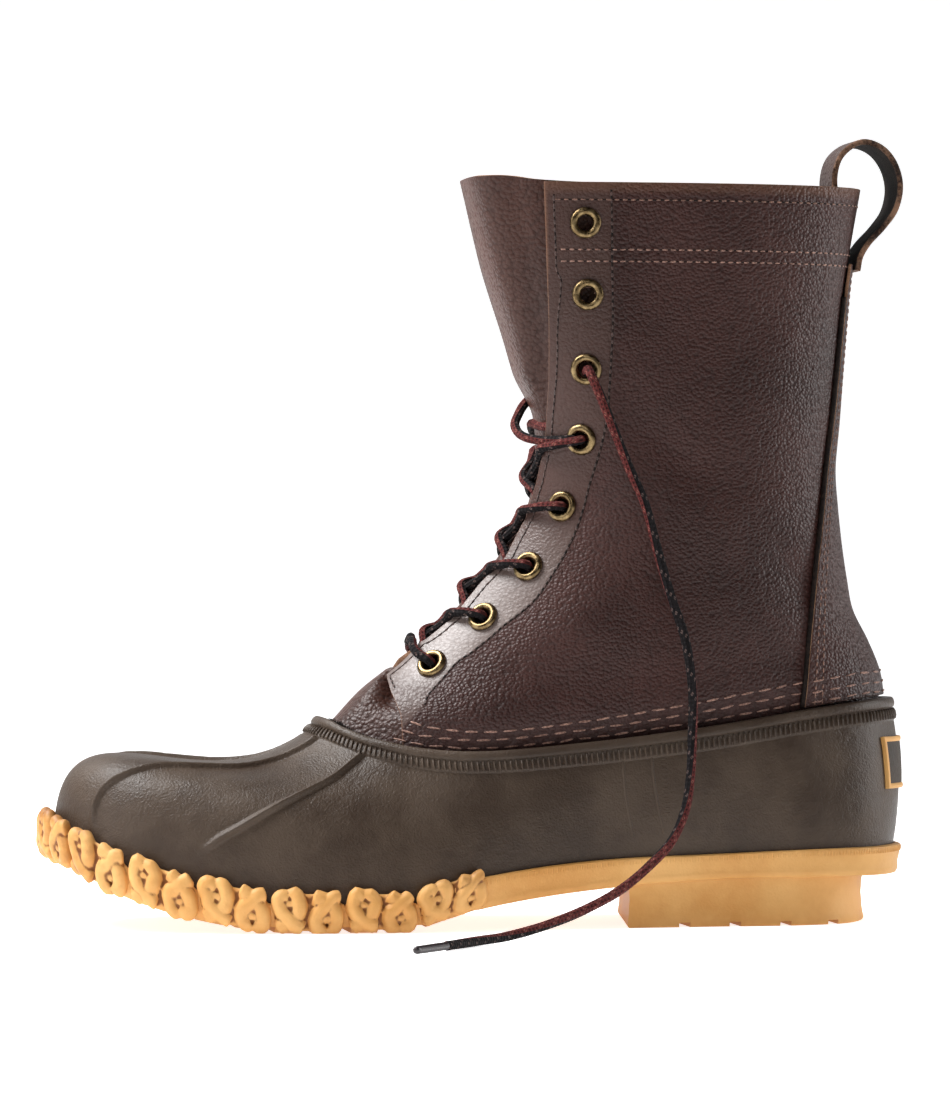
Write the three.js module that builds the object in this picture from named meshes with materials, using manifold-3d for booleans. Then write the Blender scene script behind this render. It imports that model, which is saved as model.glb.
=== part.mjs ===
// Duck boot for the left foot: a moulded rubber bottom with a laced leather shaft.
// Millimetres, +Z up. The toe points to -X, the outer (lateral) side of the boot is -Y.
// The origin is on the floor under the middle of the heel tread.
import * as THREE from 'three';
import { mergeVertices } from 'three/addons/utils/BufferGeometryUtils.js';
import Module from 'manifold-3d';

const wasm = await Module();
wasm.setup();

// Lengths along the boot
const shellLength = 295;
const heelReach = 54;
const rimLength = 202.5;
const heelBlockLength = 89;
const heelBlockBack = 44.3;

// Widths
const ballWidth = 102;
const rimWidth = 80;
const rimWidest = 0.3;
const rimBrow = 2.2;
const rimCalf = 2.3;
const shaftWidth = 75;

// Heights
const soleThickness = 4.8;
const toeSpring = 21.2;
const heelLift = 16.2;
const rimHeight = 66;
const rimSwing = 12.4;
const collarHeight = 257;
const foxingHeight = 9;

// Walls and thicknesses
const shellWall = 2.5;
const leatherWall = 2.2;
const tongueWall = 2;
const foxingWall = 2.4;
const insoleThickness = 3;
const backstayThickness = 1.2;
const clearance = 0.3;
const rimEase = 1;

// Rubber rim, a rounded bead over a ribbed band
const beadHeight = 3.9;
const beadSwell = 1.5;
const bandHeight = 4.2;
const bandSwell = 0.6;
const leatherTuck = 12;

// Throat
const throatGap = 16;
const farEdgeSetBack = 4.5;
const eyeletSetBack = 13.7;
const eyeletOuter = 10.9;
const eyeletHole = 5.6;
const eyeletLip = 1.1;
const barrelWall = 0.5;

// Lace, pull loop and heel patch
const laceDiameter = 3.2;
const loopWidth = 21;
const loopThickness = 2;
const patchWidth = 46;
const patchHeight = 18;
const patchThickness = 1.1;

// Tread
const linkPitch = 13;
const linkReach = 2.6;
const lugPitch = 26;
const grooveDepth = 2.2;
const grooveWidth = 4;
const heelGroovePitch = 18;
const heelGrooveDepth = 1.2;

// Mesh fineness
const around = 40;
const laceSides = 6;
const cordSides = 8;

// Materials
const rubberBrown = new THREE.MeshStandardMaterial({ color: 0x514840, roughness: 0.55, metalness: 0 });
const rubberTan = new THREE.MeshStandardMaterial({ color: 0xdcae6a, roughness: 0.6, metalness: 0 });
const leatherBrown = new THREE.MeshStandardMaterial({ color: 0x4d332d, roughness: 0.5, metalness: 0 });
const leatherLining = new THREE.MeshStandardMaterial({ color: 0x8a6a4c, roughness: 0.85, metalness: 0 });
const brass = new THREE.MeshStandardMaterial({ color: 0x9a7a40, roughness: 0.35, metalness: 1 });
const laceCloth = new THREE.MeshStandardMaterial({ color: 0x2a1f22, roughness: 0.9, metalness: 0 });

// Stations of the rubber bottom from toe to heel. Each row is one wall line on either side.
// along: place on the feather line, share of shellLength
// lateral, medial: half widths, shares of ballWidth
// spring, lift: height of the feather line, shares of toeSpring and heelLift
// sole: thickness under it, share of soleThickness; foxing: share of foxingHeight
// rim: place on the rim, share of rimLength; swing: rim height, share of rimSwing
// rise, drop: how far the wall runs up from the feather and down from the rim, shares of its height
// flare, reach: how far it bows out there, shares of ballWidth
const stations = [
  { along: 0.000, lateral: -0.054, medial: 0.054, spring: 1.00, lift: 0.00, sole: 1.05, foxing: 1.25,
    rim: 0.000, swing: 0.48, rise: 1.48, flare: 0.020, reach: 0.360, drop: 0.89 },
  { along: 0.014, lateral: 0.118, medial: 0.216, spring: 0.93, lift: 0.00, sole: 1.05, foxing: 1.20,
    rim: 0.004, swing: 0.46, rise: 1.42, flare: 0.016, reach: 0.345, drop: 0.87 },
  { along: 0.051, lateral: 0.265, medial: 0.333, spring: 0.65, lift: 0.00, sole: 1.04, foxing: 1.15,
    rim: 0.012, swing: 0.40, rise: 1.20, flare: 0.014, reach: 0.320, drop: 0.78 },
  { along: 0.112, lateral: 0.377, medial: 0.422, spring: 0.34, lift: 0.00, sole: 1.02, foxing: 1.10,
    rim: 0.023, swing: 0.28, rise: 0.98, flare: 0.014, reach: 0.280, drop: 0.64 },
  { along: 0.180, lateral: 0.451, medial: 0.466, spring: 0.13, lift: 0.00, sole: 1.04, foxing: 1.00,
    rim: 0.040, swing: 0.14, rise: 0.80, flare: 0.018, reach: 0.235, drop: 0.52 },
  { along: 0.247, lateral: 0.495, medial: 0.480, spring: 0.01, lift: 0.00, sole: 1.03, foxing: 0.90,
    rim: 0.065, swing: -0.02, rise: 0.62, flare: 0.022, reach: 0.185, drop: 0.42 },
  { along: 0.315, lateral: 0.515, medial: 0.480, spring: 0.00, lift: 0.00, sole: 1.00, foxing: 0.85,
    rim: 0.095, swing: -0.14, rise: 0.50, flare: 0.026, reach: 0.140, drop: 0.36 },
  { along: 0.390, lateral: 0.510, medial: 0.456, spring: 0.00, lift: 0.01, sole: 1.02, foxing: 0.80,
    rim: 0.135, swing: -0.28, rise: 0.44, flare: 0.030, reach: 0.105, drop: 0.34 },
  { along: 0.485, lateral: 0.466, medial: 0.397, spring: 0.00, lift: 0.44, sole: 0.85, foxing: 0.76,
    rim: 0.235, swing: -0.40, rise: 0.40, flare: 0.034, reach: 0.078, drop: 0.34 },
  { along: 0.614, lateral: 0.407, medial: 0.348, spring: 0.00, lift: 0.77, sole: 0.83, foxing: 0.71,
    rim: 0.430, swing: -0.16, rise: 0.36, flare: 0.032, reach: 0.060, drop: 0.32 },
  { along: 0.766, lateral: 0.368, medial: 0.333, spring: 0.00, lift: 0.91, sole: 0.67, foxing: 0.65,
    rim: 0.655, swing: 0.28, rise: 0.34, flare: 0.028, reach: 0.045, drop: 0.32 },
  { along: 0.892, lateral: 0.348, medial: 0.328, spring: 0.00, lift: 0.95, sole: 0.70, foxing: 0.72,
    rim: 0.830, swing: 0.72, rise: 0.34, flare: 0.034, reach: 0.050, drop: 0.32 },
  { along: 0.962, lateral: 0.255, medial: 0.245, spring: 0.00, lift: 0.98, sole: 0.83, foxing: 0.71,
    rim: 0.940, swing: 0.94, rise: 0.34, flare: 0.040, reach: 0.045, drop: 0.32 },
  { along: 1.000, lateral: 0.000, medial: 0.000, spring: 0.00, lift: 1.00, sole: 0.95, foxing: 0.71,
    rim: 1.000, swing: 1.00, rise: 0.34, flare: 0.042, reach: 0.046, drop: 0.32 },
];

// Horizontal sections of the leather shaft from the rim to the collar.
// level: height, share of the rise from rimHeight to collarHeight
// settle: 0 runs along the rim, 1 is level
// front, back: distance ahead of the back of the heel, shares of shellLength
// lateral, medial: half widths, shares of shaftWidth
// widest: place of the greatest width, share of the section's length
// brow, calf: roundness of the front and the back, 2 is an ellipse and 4 is nearly square
const shaftSections = [
  { level: 0.052, settle: 0.10, front: 0.640, back: 0.018, lateral: 0.515, medial: 0.500, widest: 0.30, brow: 2.2, calf: 2.2 },
  { level: 0.115, settle: 0.25, front: 0.594, back: 0.032, lateral: 0.500, medial: 0.487, widest: 0.32, brow: 2.1, calf: 2.2 },
  { level: 0.188, settle: 0.45, front: 0.559, back: 0.052, lateral: 0.493, medial: 0.480, widest: 0.36, brow: 1.9, calf: 2.3 },
  { level: 0.262, settle: 0.65, front: 0.522, back: 0.060, lateral: 0.487, medial: 0.473, widest: 0.40, brow: 1.8, calf: 2.3 },
  { level: 0.335, settle: 0.85, front: 0.487, back: 0.066, lateral: 0.480, medial: 0.467, widest: 0.43, brow: 1.8, calf: 2.3 },
  { level: 0.414, settle: 1.00, front: 0.457, back: 0.071, lateral: 0.473, medial: 0.467, widest: 0.45, brow: 1.9, calf: 2.3 },
  { level: 0.482, settle: 1.00, front: 0.446, back: 0.074, lateral: 0.473, medial: 0.467, widest: 0.45, brow: 2.1, calf: 2.3 },
  { level: 0.571, settle: 1.00, front: 0.446, back: 0.069, lateral: 0.480, medial: 0.473, widest: 0.44, brow: 2.4, calf: 2.3 },
  { level: 0.702, settle: 1.00, front: 0.466, back: 0.063, lateral: 0.487, medial: 0.480, widest: 0.42, brow: 2.8, calf: 2.4 },
  { level: 0.848, settle: 1.00, front: 0.495, back: 0.054, lateral: 0.493, medial: 0.487, widest: 0.40, brow: 3.1, calf: 2.4 },
  { level: 1.000, settle: 1.00, front: 0.520, back: 0.037, lateral: 0.500, medial: 0.493, widest: 0.38, brow: 3.3, calf: 2.4 },
];

// Front edge of the quarters, seen from the side, from under the rim to the collar.
// up: height, share of collarHeight; ahead: share of shellLength ahead of the back of the heel
const throatEdge = [
  { up: 0.160, ahead: 0.602 },
  { up: 0.285, ahead: 0.604 },
  { up: 0.318, ahead: 0.612 },
  { up: 0.340, ahead: 0.613 },
  { up: 0.358, ahead: 0.605 },
  { up: 0.372, ahead: 0.586 },
  { up: 0.385, ahead: 0.567 },
  { up: 0.415, ahead: 0.536 },
  { up: 0.461, ahead: 0.503 },
  { up: 0.497, ahead: 0.473 },
  { up: 0.528, ahead: 0.459 },
  { up: 0.553, ahead: 0.447 },
  { up: 0.598, ahead: 0.436 },
  { up: 0.651, ahead: 0.428 },
  { up: 0.735, ahead: 0.428 },
  { up: 0.812, ahead: 0.431 },
  { up: 0.888, ahead: 0.435 },
  { up: 1.030, ahead: 0.441 },
];

// Eyelets of one side, bottom to top.
// up: height, share of collarHeight; back: distance behind the edge in the side view, in eyeletSetBack
const eyeletRows = [
  { up: 0.353, back: 0.94 },
  { up: 0.416, back: 0.68 },
  { up: 0.484, back: 0.72 },
  { up: 0.565, back: 0.72 },
  { up: 0.655, back: 0.80 },
  { up: 0.749, back: 0.88 },
  { up: 0.849, back: 0.98 },
  { up: 0.945, back: 1.00 },
];

// Front edge of the backstay, from under the rim to the cuff stitching
const backstayEdge = [
  { up: 0.180, ahead: 0.122 },
  { up: 0.283, ahead: 0.125 },
  { up: 0.398, ahead: 0.115 },
  { up: 0.493, ahead: 0.106 },
  { up: 0.585, ahead: 0.095 },
  { up: 0.711, ahead: 0.080 },
  { up: 0.848, ahead: 0.067 },
  { up: 0.897, ahead: 0.060 },
];

const heelBack = heelReach;
const toeTip = heelReach - shellLength;
const rimFront = heelReach - rimLength;
const shaftRise = collarHeight - rimHeight;

function mix(a, b, share) {
  return a + (b - a) * share;
}

function ramp(value, from, to) {
  return THREE.MathUtils.smoothstep(value, from, to);
}

// Straight-line value of a table at a height
function tableAt(table, up) {
  const last = table.length - 1;
  if (up <= table[0].up) return table[0].ahead;
  if (up >= table[last].up) return table[last].ahead;
  const k = table.findIndex((row) => row.up > up);
  return mix(table[k - 1].ahead, table[k].ahead, (up - table[k - 1].up) / (table[k].up - table[k - 1].up));
}

// Closed curve through the stations, down the lateral side and back up the medial side
function closedGuide(pointOf) {
  const points = stations.map((row) => pointOf(row, -1));
  const back = stations.slice(1, -1).reverse();
  points.push(...back.map((row) => pointOf(row, 1)));
  return new THREE.CatmullRomCurve3(points, true, 'centripetal');
}

// Half width of a section at a share of its length, rounded at the front and at the back
function fullness(share, widest, brow, calf) {
  const s = THREE.MathUtils.clamp(share, 0, 1);
  if (s < widest) return Math.pow(1 - Math.pow(1 - s / widest, brow), 1 / brow);
  return Math.pow(Math.max(0, 1 - Math.pow((s - widest) / (1 - widest), calf)), 1 / calf);
}

function featherPoint(row, side) {
  const width = side < 0 ? -row.lateral : row.medial;
  const height = soleThickness + row.spring * toeSpring + row.lift * heelLift;
  return new THREE.Vector3(toeTip + row.along * shellLength, width * ballWidth, height);
}

function rimPoint(row, side) {
  const half = (rimWidth / 2) * fullness(row.rim, rimWidest, rimBrow, rimCalf);
  return new THREE.Vector3(rimFront + row.rim * rimLength, side * half, rimHeight + row.swing * rimSwing);
}

const feather = closedGuide(featherPoint);
const rim = closedGuide(rimPoint);
const wallTurn = closedGuide((row) => new THREE.Vector3(row.rise, row.flare, row.sole));
const wallEnd = closedGuide((row) => new THREE.Vector3(row.drop, row.reach, row.foxing));

function wrap(t) {
  return ((t % 1) + 1) % 1;
}

// Outward direction of the feather line, level
function outward(t) {
  const tangent = feather.getTangent(wrap(t));
  return new THREE.Vector3(tangent.y, -tangent.x, 0).normalize();
}

// Outer face of the rubber bottom: t runs round the boot from the toe, v from feather to rim
function shellPoint(t, v) {
  const u = wrap(t);
  const low = feather.getPoint(u);
  const high = rim.getPoint(u);
  const tall = high.z - low.z;
  const turn = wallTurn.getPoint(u);
  const end = wallEnd.getPoint(u);
  const out = outward(u);
  const first = low.clone().addScaledVector(out, turn.y * ballWidth);
  first.z += turn.x * tall;
  const second = high.clone().addScaledVector(out, end.y * ballWidth);
  second.z -= end.x * tall;
  return new THREE.CubicBezierCurve3(low, first, second, high).getPoint(v);
}

// How far up the wall a distance below the rim lies
function belowRim(t, distance) {
  const step = 0.01;
  const speed = shellPoint(t, 1).distanceTo(shellPoint(t, 1 - step)) / step;
  return 1 - distance / speed;
}

function normalOf(surface, t, v, low, high) {
  const dt = 0.004;
  const dv = 0.01;
  const v0 = Math.max(low, v - dv);
  const v1 = Math.min(high, v + dv);
  const along = surface(t + dt, v).sub(surface(t - dt, v));
  const up = surface(t, v1).sub(surface(t, v0));
  return along.cross(up).normalize();
}

function shellAt(t, v, offset) {
  return shellPoint(t, v).addScaledVector(normalOf(shellPoint, t, v, 0, 1), offset);
}

// Leather shaft: t runs round as on the shell, w counts the rows from the tucked edge up
const topRow = shaftSections.length + 1;

function sectionPoint(row, t) {
  const u = wrap(t);
  const edge = rim.getPoint(u);
  const share = THREE.MathUtils.clamp((edge.x - rimFront) / rimLength, 0, 1);
  const front = heelBack - row.front * shellLength;
  const back = heelBack - row.back * shellLength;
  const side = u < 0.5 ? -row.lateral : row.medial;
  const level = rimHeight + row.level * shaftRise;
  return new THREE.Vector3(
    mix(front, back, share),
    side * shaftWidth * fullness(share, row.widest, row.brow, row.calf),
    level + (1 - row.settle) * (edge.z - rimHeight),
  );
}

const rowCache = new Map();

function shaftCurve(t) {
  const key = wrap(t).toFixed(6);
  if (!rowCache.has(key)) {
    const inside = -(shellWall + rimEase);
    const points = [shellAt(t, belowRim(t, leatherTuck), inside), shellAt(t, 1, inside)];
    shaftSections.forEach((row) => points.push(sectionPoint(row, t)));
    rowCache.set(key, new THREE.CatmullRomCurve3(points, false, 'centripetal'));
  }
  return rowCache.get(key);
}

function shaftPoint(t, w) {
  return shaftCurve(t).getPoint(THREE.MathUtils.clamp(w / topRow, 0, 1));
}

function shaftAt(t, w, offset) {
  return shaftPoint(t, w).addScaledVector(normalOf(shaftPoint, t, w, 0, topRow), offset);
}

// Place on one side of the shaft that shows at x, z in the side view
function shaftPlace(x, z, side) {
  let t = 0.12;
  let w = 6;
  for (let round = 0; round < 40; round += 1) {
    const here = shaftPoint(side * -t, w);
    let low = 0;
    let high = topRow;
    for (let k = 0; k < 24; k += 1) {
      w = (low + high) / 2;
      if (shaftPoint(side * -t, w).z < z) low = w;
      else high = w;
    }
    low = 0;
    high = 0.5;
    for (let k = 0; k < 24; k += 1) {
      t = (low + high) / 2;
      if (shaftPoint(side * -t, w).x < x) low = t;
      else high = t;
    }
    if (shaftPoint(side * -t, w).distanceTo(here) < 0.01) break;
  }
  return { t: side * -t, w };
}

// Where the front edge of a quarter crosses a row of the shaft, as a distance t from the front
function quarterEdge(w, side) {
  const setBack = side < 0 ? 0 : farEdgeSetBack;
  let low = 0;
  let high = 0.4;
  for (let k = 0; k < 26; k += 1) {
    const t = (low + high) / 2;
    const point = shaftPoint(side * -t, w);
    const edge = heelBack - tableAt(throatEdge, point.z / collarHeight) * shellLength + setBack;
    if (point.x < edge || Math.abs(point.y) < throatGap / 2) low = t;
    else high = t;
  }
  return high;
}

// A closed solid from two grids of points, the outer and the inner face of a wall
function wallGeometry(outer, inner, closed) {
  const columns = outer.length;
  const rows = outer[0].length;
  const positions = [];
  [outer, inner].forEach((grid) => grid.forEach((column) => column.forEach((p) => positions.push(p.x, p.y, p.z))));
  const at = (face, i, j) => face * columns * rows + (i % columns) * rows + j;
  const index = [];
  const quad = (a, b, c, d) => index.push(a, b, c, a, c, d);
  const spans = closed ? columns : columns - 1;
  for (let i = 0; i < spans; i += 1) {
    for (let j = 0; j < rows - 1; j += 1) {
      quad(at(0, i, j), at(0, i + 1, j), at(0, i + 1, j + 1), at(0, i, j + 1));
      quad(at(1, i, j), at(1, i, j + 1), at(1, i + 1, j + 1), at(1, i + 1, j));
    }
    quad(at(0, i, rows - 1), at(0, i + 1, rows - 1), at(1, i + 1, rows - 1), at(1, i, rows - 1));
    quad(at(1, i, 0), at(1, i + 1, 0), at(0, i + 1, 0), at(0, i, 0));
  }
  if (!closed) {
    for (let j = 0; j < rows - 1; j += 1) {
      const end = columns - 1;
      quad(at(0, 0, j), at(0, 0, j + 1), at(1, 0, j + 1), at(1, 0, j));
      quad(at(0, end, j), at(1, end, j), at(1, end, j + 1), at(0, end, j + 1));
    }
  }
  const geometry = new THREE.BufferGeometry();
  geometry.setAttribute('position', new THREE.Float32BufferAttribute(positions, 3));
  geometry.setIndex(index);
  return geometry;
}

// A solid with level cross bands between its lateral and medial sides, through a ladder of loops
function ladderGeometry(loops) {
  const count = loops[0].length;
  const positions = [];
  loops.forEach((loop) => loop.forEach((p) => positions.push(p.x, p.y, p.z)));
  const index = [];
  for (let k = 0; k < loops.length - 1; k += 1) {
    for (let i = 0; i < count; i += 1) {
      const a = k * count + i;
      const b = k * count + ((i + 1) % count);
      index.push(a, b, b + count, a, b + count, a + count);
    }
  }
  const cap = (base, flip) => {
    for (let i = 0; i < count / 2; i += 1) {
      const a = base + i;
      const b = base + i + 1;
      const c = base + ((count - i - 1) % count);
      const d = base + ((count - i) % count);
      const faces = [];
      if (i > 0) faces.push([a, c, d]);
      if (i < count / 2 - 1) faces.push([a, b, c]);
      faces.forEach((f) => index.push(...(flip ? f.reverse() : f)));
    }
  };
  cap(0, true);
  cap((loops.length - 1) * count, false);
  const geometry = new THREE.BufferGeometry();
  geometry.setAttribute('position', new THREE.Float32BufferAttribute(positions, 3));
  geometry.setIndex(index);
  return geometry;
}

function solidOf(geometry) {
  const clean = geometry.clone();
  clean.deleteAttribute('normal');
  clean.deleteAttribute('uv');
  const merged = mergeVertices(clean, 1e-4);
  const solid = new wasm.Manifold(new wasm.Mesh({
    numProp: 3,
    vertProperties: new Float32Array(merged.attributes.position.array),
    triVerts: new Uint32Array(merged.index.array),
  }));
  return solid;
}

function geometryOf(solid) {
  const mesh = solid.getMesh();
  const geometry = new THREE.BufferGeometry();
  geometry.setAttribute('position', new THREE.Float32BufferAttribute(mesh.vertProperties, 3));
  geometry.setIndex(Array.from(mesh.triVerts));
  return geometry;
}

// A prism across the boot with an outline in the side view, from y = from to y = to
function sidePrism(outline, from, to) {
  const shape = new THREE.Shape(outline.map(([x, z]) => new THREE.Vector2(x, z)));
  const geometry = new THREE.ExtrudeGeometry(shape, { depth: to - from, bevelEnabled: false });
  geometry.rotateX(Math.PI / 2);
  geometry.translate(0, to, 0);
  return geometry;
}

function box(x0, x1, y0, y1, z0, z1) {
  const geometry = new THREE.BoxGeometry(x1 - x0, y1 - y0, z1 - z0);
  geometry.translate((x0 + x1) / 2, (y0 + y1) / 2, (z0 + z1) / 2);
  return geometry;
}

function tube(points, radius, sides, steps) {
  const section = new THREE.Shape();
  for (let k = 0; k < sides; k += 1) {
    const angle = (k / sides) * Math.PI * 2;
    const x = radius * Math.cos(angle);
    const y = radius * Math.sin(angle);
    if (k === 0) section.moveTo(x, y);
    else section.lineTo(x, y);
  }
  section.closePath();
  const path = new THREE.CatmullRomCurve3(points, false, 'centripetal');
  return new THREE.ExtrudeGeometry(section, { steps, extrudePath: path, bevelEnabled: false, curveSegments: 1 });
}

const boot = new THREE.Group();

function add(name, geometry, material) {
  const mesh = new THREE.Mesh(geometry, material);
  mesh.name = name;
  boot.add(mesh);
  return mesh;
}

const turns = Array.from({ length: around }, (_, i) => i / around);

// Rubber shell: rows from the feather up, then the ribbed band and the bead at fixed distances
function shellRows(t) {
  const band = beadHeight + bandHeight;
  const wall = [0, 0.08, 0.19, 0.32, 0.47, 0.62, 0.76, 0.89];
  const top = belowRim(t, band + clearance);
  const rows = wall.map((share) => [share * top, 0]);
  rows.push([top, 0]);
  rows.push([belowRim(t, band), bandSwell]);
  rows.push([belowRim(t, beadHeight), bandSwell]);
  rows.push([belowRim(t, beadHeight * 0.85), beadSwell * 0.9]);
  rows.push([belowRim(t, beadHeight * 0.45), beadSwell]);
  rows.push([1, beadSwell * 0.6]);
  return rows;
}

// The shell's wall grown or shrunk on either face
function shellBand(outer, inner) {
  const face = (offset, swollen) => turns.map((t) => shellRows(t).map(([v, swell]) => (
    shellAt(t, v, offset + (swollen ? swell : 0)))));
  return wallGeometry(face(outer, true), face(inner, false), true);
}

add('rubber_shell', shellBand(0, -shellWall), rubberBrown);

// Outsole: a moulded slab with a foxing wall that holds the shell, a heel block and the chain links
function soleLoop(offset, heightOf) {
  return turns.map((t) => {
    const point = feather.getPoint(t).addScaledVector(outward(t), offset);
    point.z = heightOf(t, feather.getPoint(t).z);
    return point;
  });
}

const wallStep = 0.005;
const roundStep = 0.0005;

function foxingLoop(share, offset) {
  return turns.map((t) => {
    const rise = share * wallEnd.getPoint(t).z * foxingHeight;
    const low = shellPoint(t, 0);
    let v = 0;
    while (v < 1 && shellPoint(t, v).distanceTo(low) < rise) v += wallStep;
    return shellAt(t, v, offset);
  });
}

function underside(t, height) {
  return Math.max(0, height - wallTurn.getPoint(t).z * soleThickness);
}

const outerWall = clearance + foxingWall;
const treadBevel = 1.6;
const foxingEase = clearance * 2.3;
let outsole = solidOf(ladderGeometry([
  soleLoop(outerWall - treadBevel, underside),
  soleLoop(outerWall, (t, height) => underside(t, height) + treadBevel),
  soleLoop(outerWall, (t, height) => height),
  foxingLoop(1, outerWall),
  foxingLoop(1, foxingEase),
  foxingLoop(0.5, foxingEase),
  soleLoop(foxingEase, (t, height) => height - foxingEase * 1.2),
]));

// Heel block: the sole's outline behind its front face, drawn in a little all round
const heelFront = heelBlockBack - heelBlockLength;
const heelInset = 1.2;
const heelTop = soleThickness + heelLift * 0.8;
const soleBack = heelReach + outerWall - heelInset;
const heelOutline = soleLoop(outerWall - heelInset, () => 0)
  .filter((p) => p.x > heelFront)
  .map((p) => new THREE.Vector2(mix(heelFront, heelBlockBack, (p.x - heelFront) / (soleBack - heelFront)), p.y));
const heelBlock = new THREE.ExtrudeGeometry(new THREE.Shape(heelOutline), { depth: heelTop, bevelEnabled: false });
outsole = outsole.add(solidOf(heelBlock));

// Chain links: a row of rounded lumps moulded round the forefoot from toe to waist
const linkEnd = 0.485;
const linkHalfHeight = 7.6;
const linkRise = 2.4;
const linkToeRise = 0.22;

function linkPlaces(side) {
  const places = [];
  let run = side < 0 ? 0 : linkPitch;
  const last = feather.getPoint(0).clone();
  let travelled = 0;
  for (let t = 0; t < 0.5; t += roundStep) {
    const here = feather.getPoint(wrap(side * -t)).addScaledVector(outward(side * -t), outerWall);
    if (t === 0) last.copy(here);
    travelled += Math.hypot(here.x - last.x, here.y - last.y);
    last.copy(here);
    if (here.x > toeTip + linkEnd * shellLength) break;
    if (travelled >= run) {
      places.push(side * -t);
      run += linkPitch;
    }
  }
  return places;
}

[...linkPlaces(-1), ...linkPlaces(1)].forEach((t) => {
  const out = outward(t);
  const link = new THREE.OctahedronGeometry(1, 1);
  link.scale(linkPitch * 0.52, linkReach, linkHalfHeight);
  link.rotateZ(Math.atan2(-out.x, out.y));
  const at = feather.getPoint(wrap(t)).addScaledVector(out, outerWall + linkReach * 0.5);
  const height = at.z + linkRise + linkToeRise * (at.z - soleThickness);
  link.translate(at.x, at.y, Math.max(linkHalfHeight, height));
  outsole = outsole.add(solidOf(link));
});

// Cross grooves of the tread, through to both sides
const treadFrom = 0.055;
const treadTo = 0.44;
const treadSpan = (treadTo - treadFrom) * shellLength;
for (let run = lugPitch / 2; run < treadSpan; run += lugPitch) {
  const x = toeTip + treadFrom * shellLength + run;
  let t = 0;
  while (feather.getPoint(t).x < x) t += roundStep;
  const top = underside(t, feather.getPoint(t).z) + grooveDepth;
  outsole = outsole.subtract(solidOf(box(x - grooveWidth / 2, x + grooveWidth / 2, -ballWidth, ballWidth, -1, top)));
}
[-1.5, -0.5, 0.5, 1.5].forEach((place) => {
  const x = place * heelGroovePitch;
  const groove = box(x - grooveWidth / 2, x + grooveWidth / 2, -ballWidth, ballWidth, -1, heelGrooveDepth);
  outsole = outsole.subtract(solidOf(groove));
});
add('outsole', geometryOf(outsole), rubberTan);

// Insole: a flat pad that follows the sole inside the shell
const insideShell = -(shellWall + clearance * 2);
add('insole', ladderGeometry([
  soleLoop(insideShell, (t, height) => height + clearance),
  soleLoop(insideShell, (t, height) => height + clearance + insoleThickness),
]), leatherLining);

// Leather upper: both quarters and the back as one wall, open at the throat, the collar and below
const upperRows = [0, 0.6, 1.2, 1.8, 2.3, 2.8, 3.3, 4, 5, 6, 7, 8, 9, 10, 11, topRow];
const upperSpans = 12;

function upperGrid(offset) {
  const columns = [];
  for (let k = -upperSpans; k <= upperSpans; k += 1) {
    const side = k <= 0 ? -1 : 1;
    const share = 1 - Math.abs(k) / upperSpans;
    columns.push(upperRows.map((w) => shaftAt(side * -mix(quarterEdge(w, side), 0.5, share), w, offset)));
  }
  return columns;
}

let upper = solidOf(wallGeometry(upperGrid(0), upperGrid(-leatherWall), false));

// Eyelets: rolled brass rings through the quarters, eight on a side
const eyeletSegments = 8;
const rollWidth = 1.3;
const underLip = 4;
const lipGap = 0.75;
const backGap = 1.4;
const backLip = 0.5;

function eyeletPlace(row, side) {
  const z = row.up * collarHeight;
  const edge = heelBack - tableAt(throatEdge, row.up) * shellLength + (side < 0 ? 0 : farEdgeSetBack);
  return shaftPlace(edge + row.back * eyeletSetBack, z, side);
}

function aimed(geometry, place) {
  const centre = shaftPoint(place.t, place.w);
  const normal = normalOf(shaftPoint, place.t, place.w, 0, topRow);
  geometry.applyQuaternion(new THREE.Quaternion().setFromUnitVectors(new THREE.Vector3(0, 1, 0), normal));
  geometry.translate(centre.x, centre.y, centre.z);
  return geometry;
}

function eyeletRing() {
  const hole = eyeletHole / 2;
  const barrel = hole + barrelWall;
  const outer = eyeletOuter / 2;
  const under = -leatherWall - backGap;
  const profile = [
    [hole, under - backLip], [hole, lipGap + eyeletLip * 0.7], [hole + rollWidth, lipGap + eyeletLip],
    [outer, lipGap], [barrel, lipGap], [barrel, under], [underLip, under], [hole, under - backLip],
  ].map(([r, y]) => new THREE.Vector2(r, y));
  return new THREE.LatheGeometry(profile.reverse(), eyeletSegments);
}

const eyelets = { left: [], right: [] };
[['left', -1], ['right', 1]].forEach(([name, side]) => {
  eyeletRows.forEach((row, k) => {
    const place = eyeletPlace(row, side);
    eyelets[name].push(place);
    const radius = (eyeletHole / 2 + barrelWall + clearance) / Math.cos(Math.PI / eyeletSegments);
    const punch = aimed(new THREE.CylinderGeometry(radius, radius, 6 * leatherWall, eyeletSegments), place);
    upper = upper.subtract(solidOf(punch));
    add(`eyelet_${name}_${k + 1}`, aimed(eyeletRing(), place), brass);
  });
});
add('leather_upper', geometryOf(upper), leatherBrown);

// Tongue: a gusseted sheet from under the rim to above the collar, sunk where the lace crosses it
const tongueSpans = 7;
const tongueRise = 2.5;
const underQuarter = leatherWall + clearance * 2.6;
const laceRoom = leatherWall + laceDiameter + clearance * 4;
const tongueRows = [0, 1, 1.6, 2.2, 2.8, 3.2, 3.6, 4, 5, 6, 7, 8, 9, 10, 11, topRow];

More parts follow.
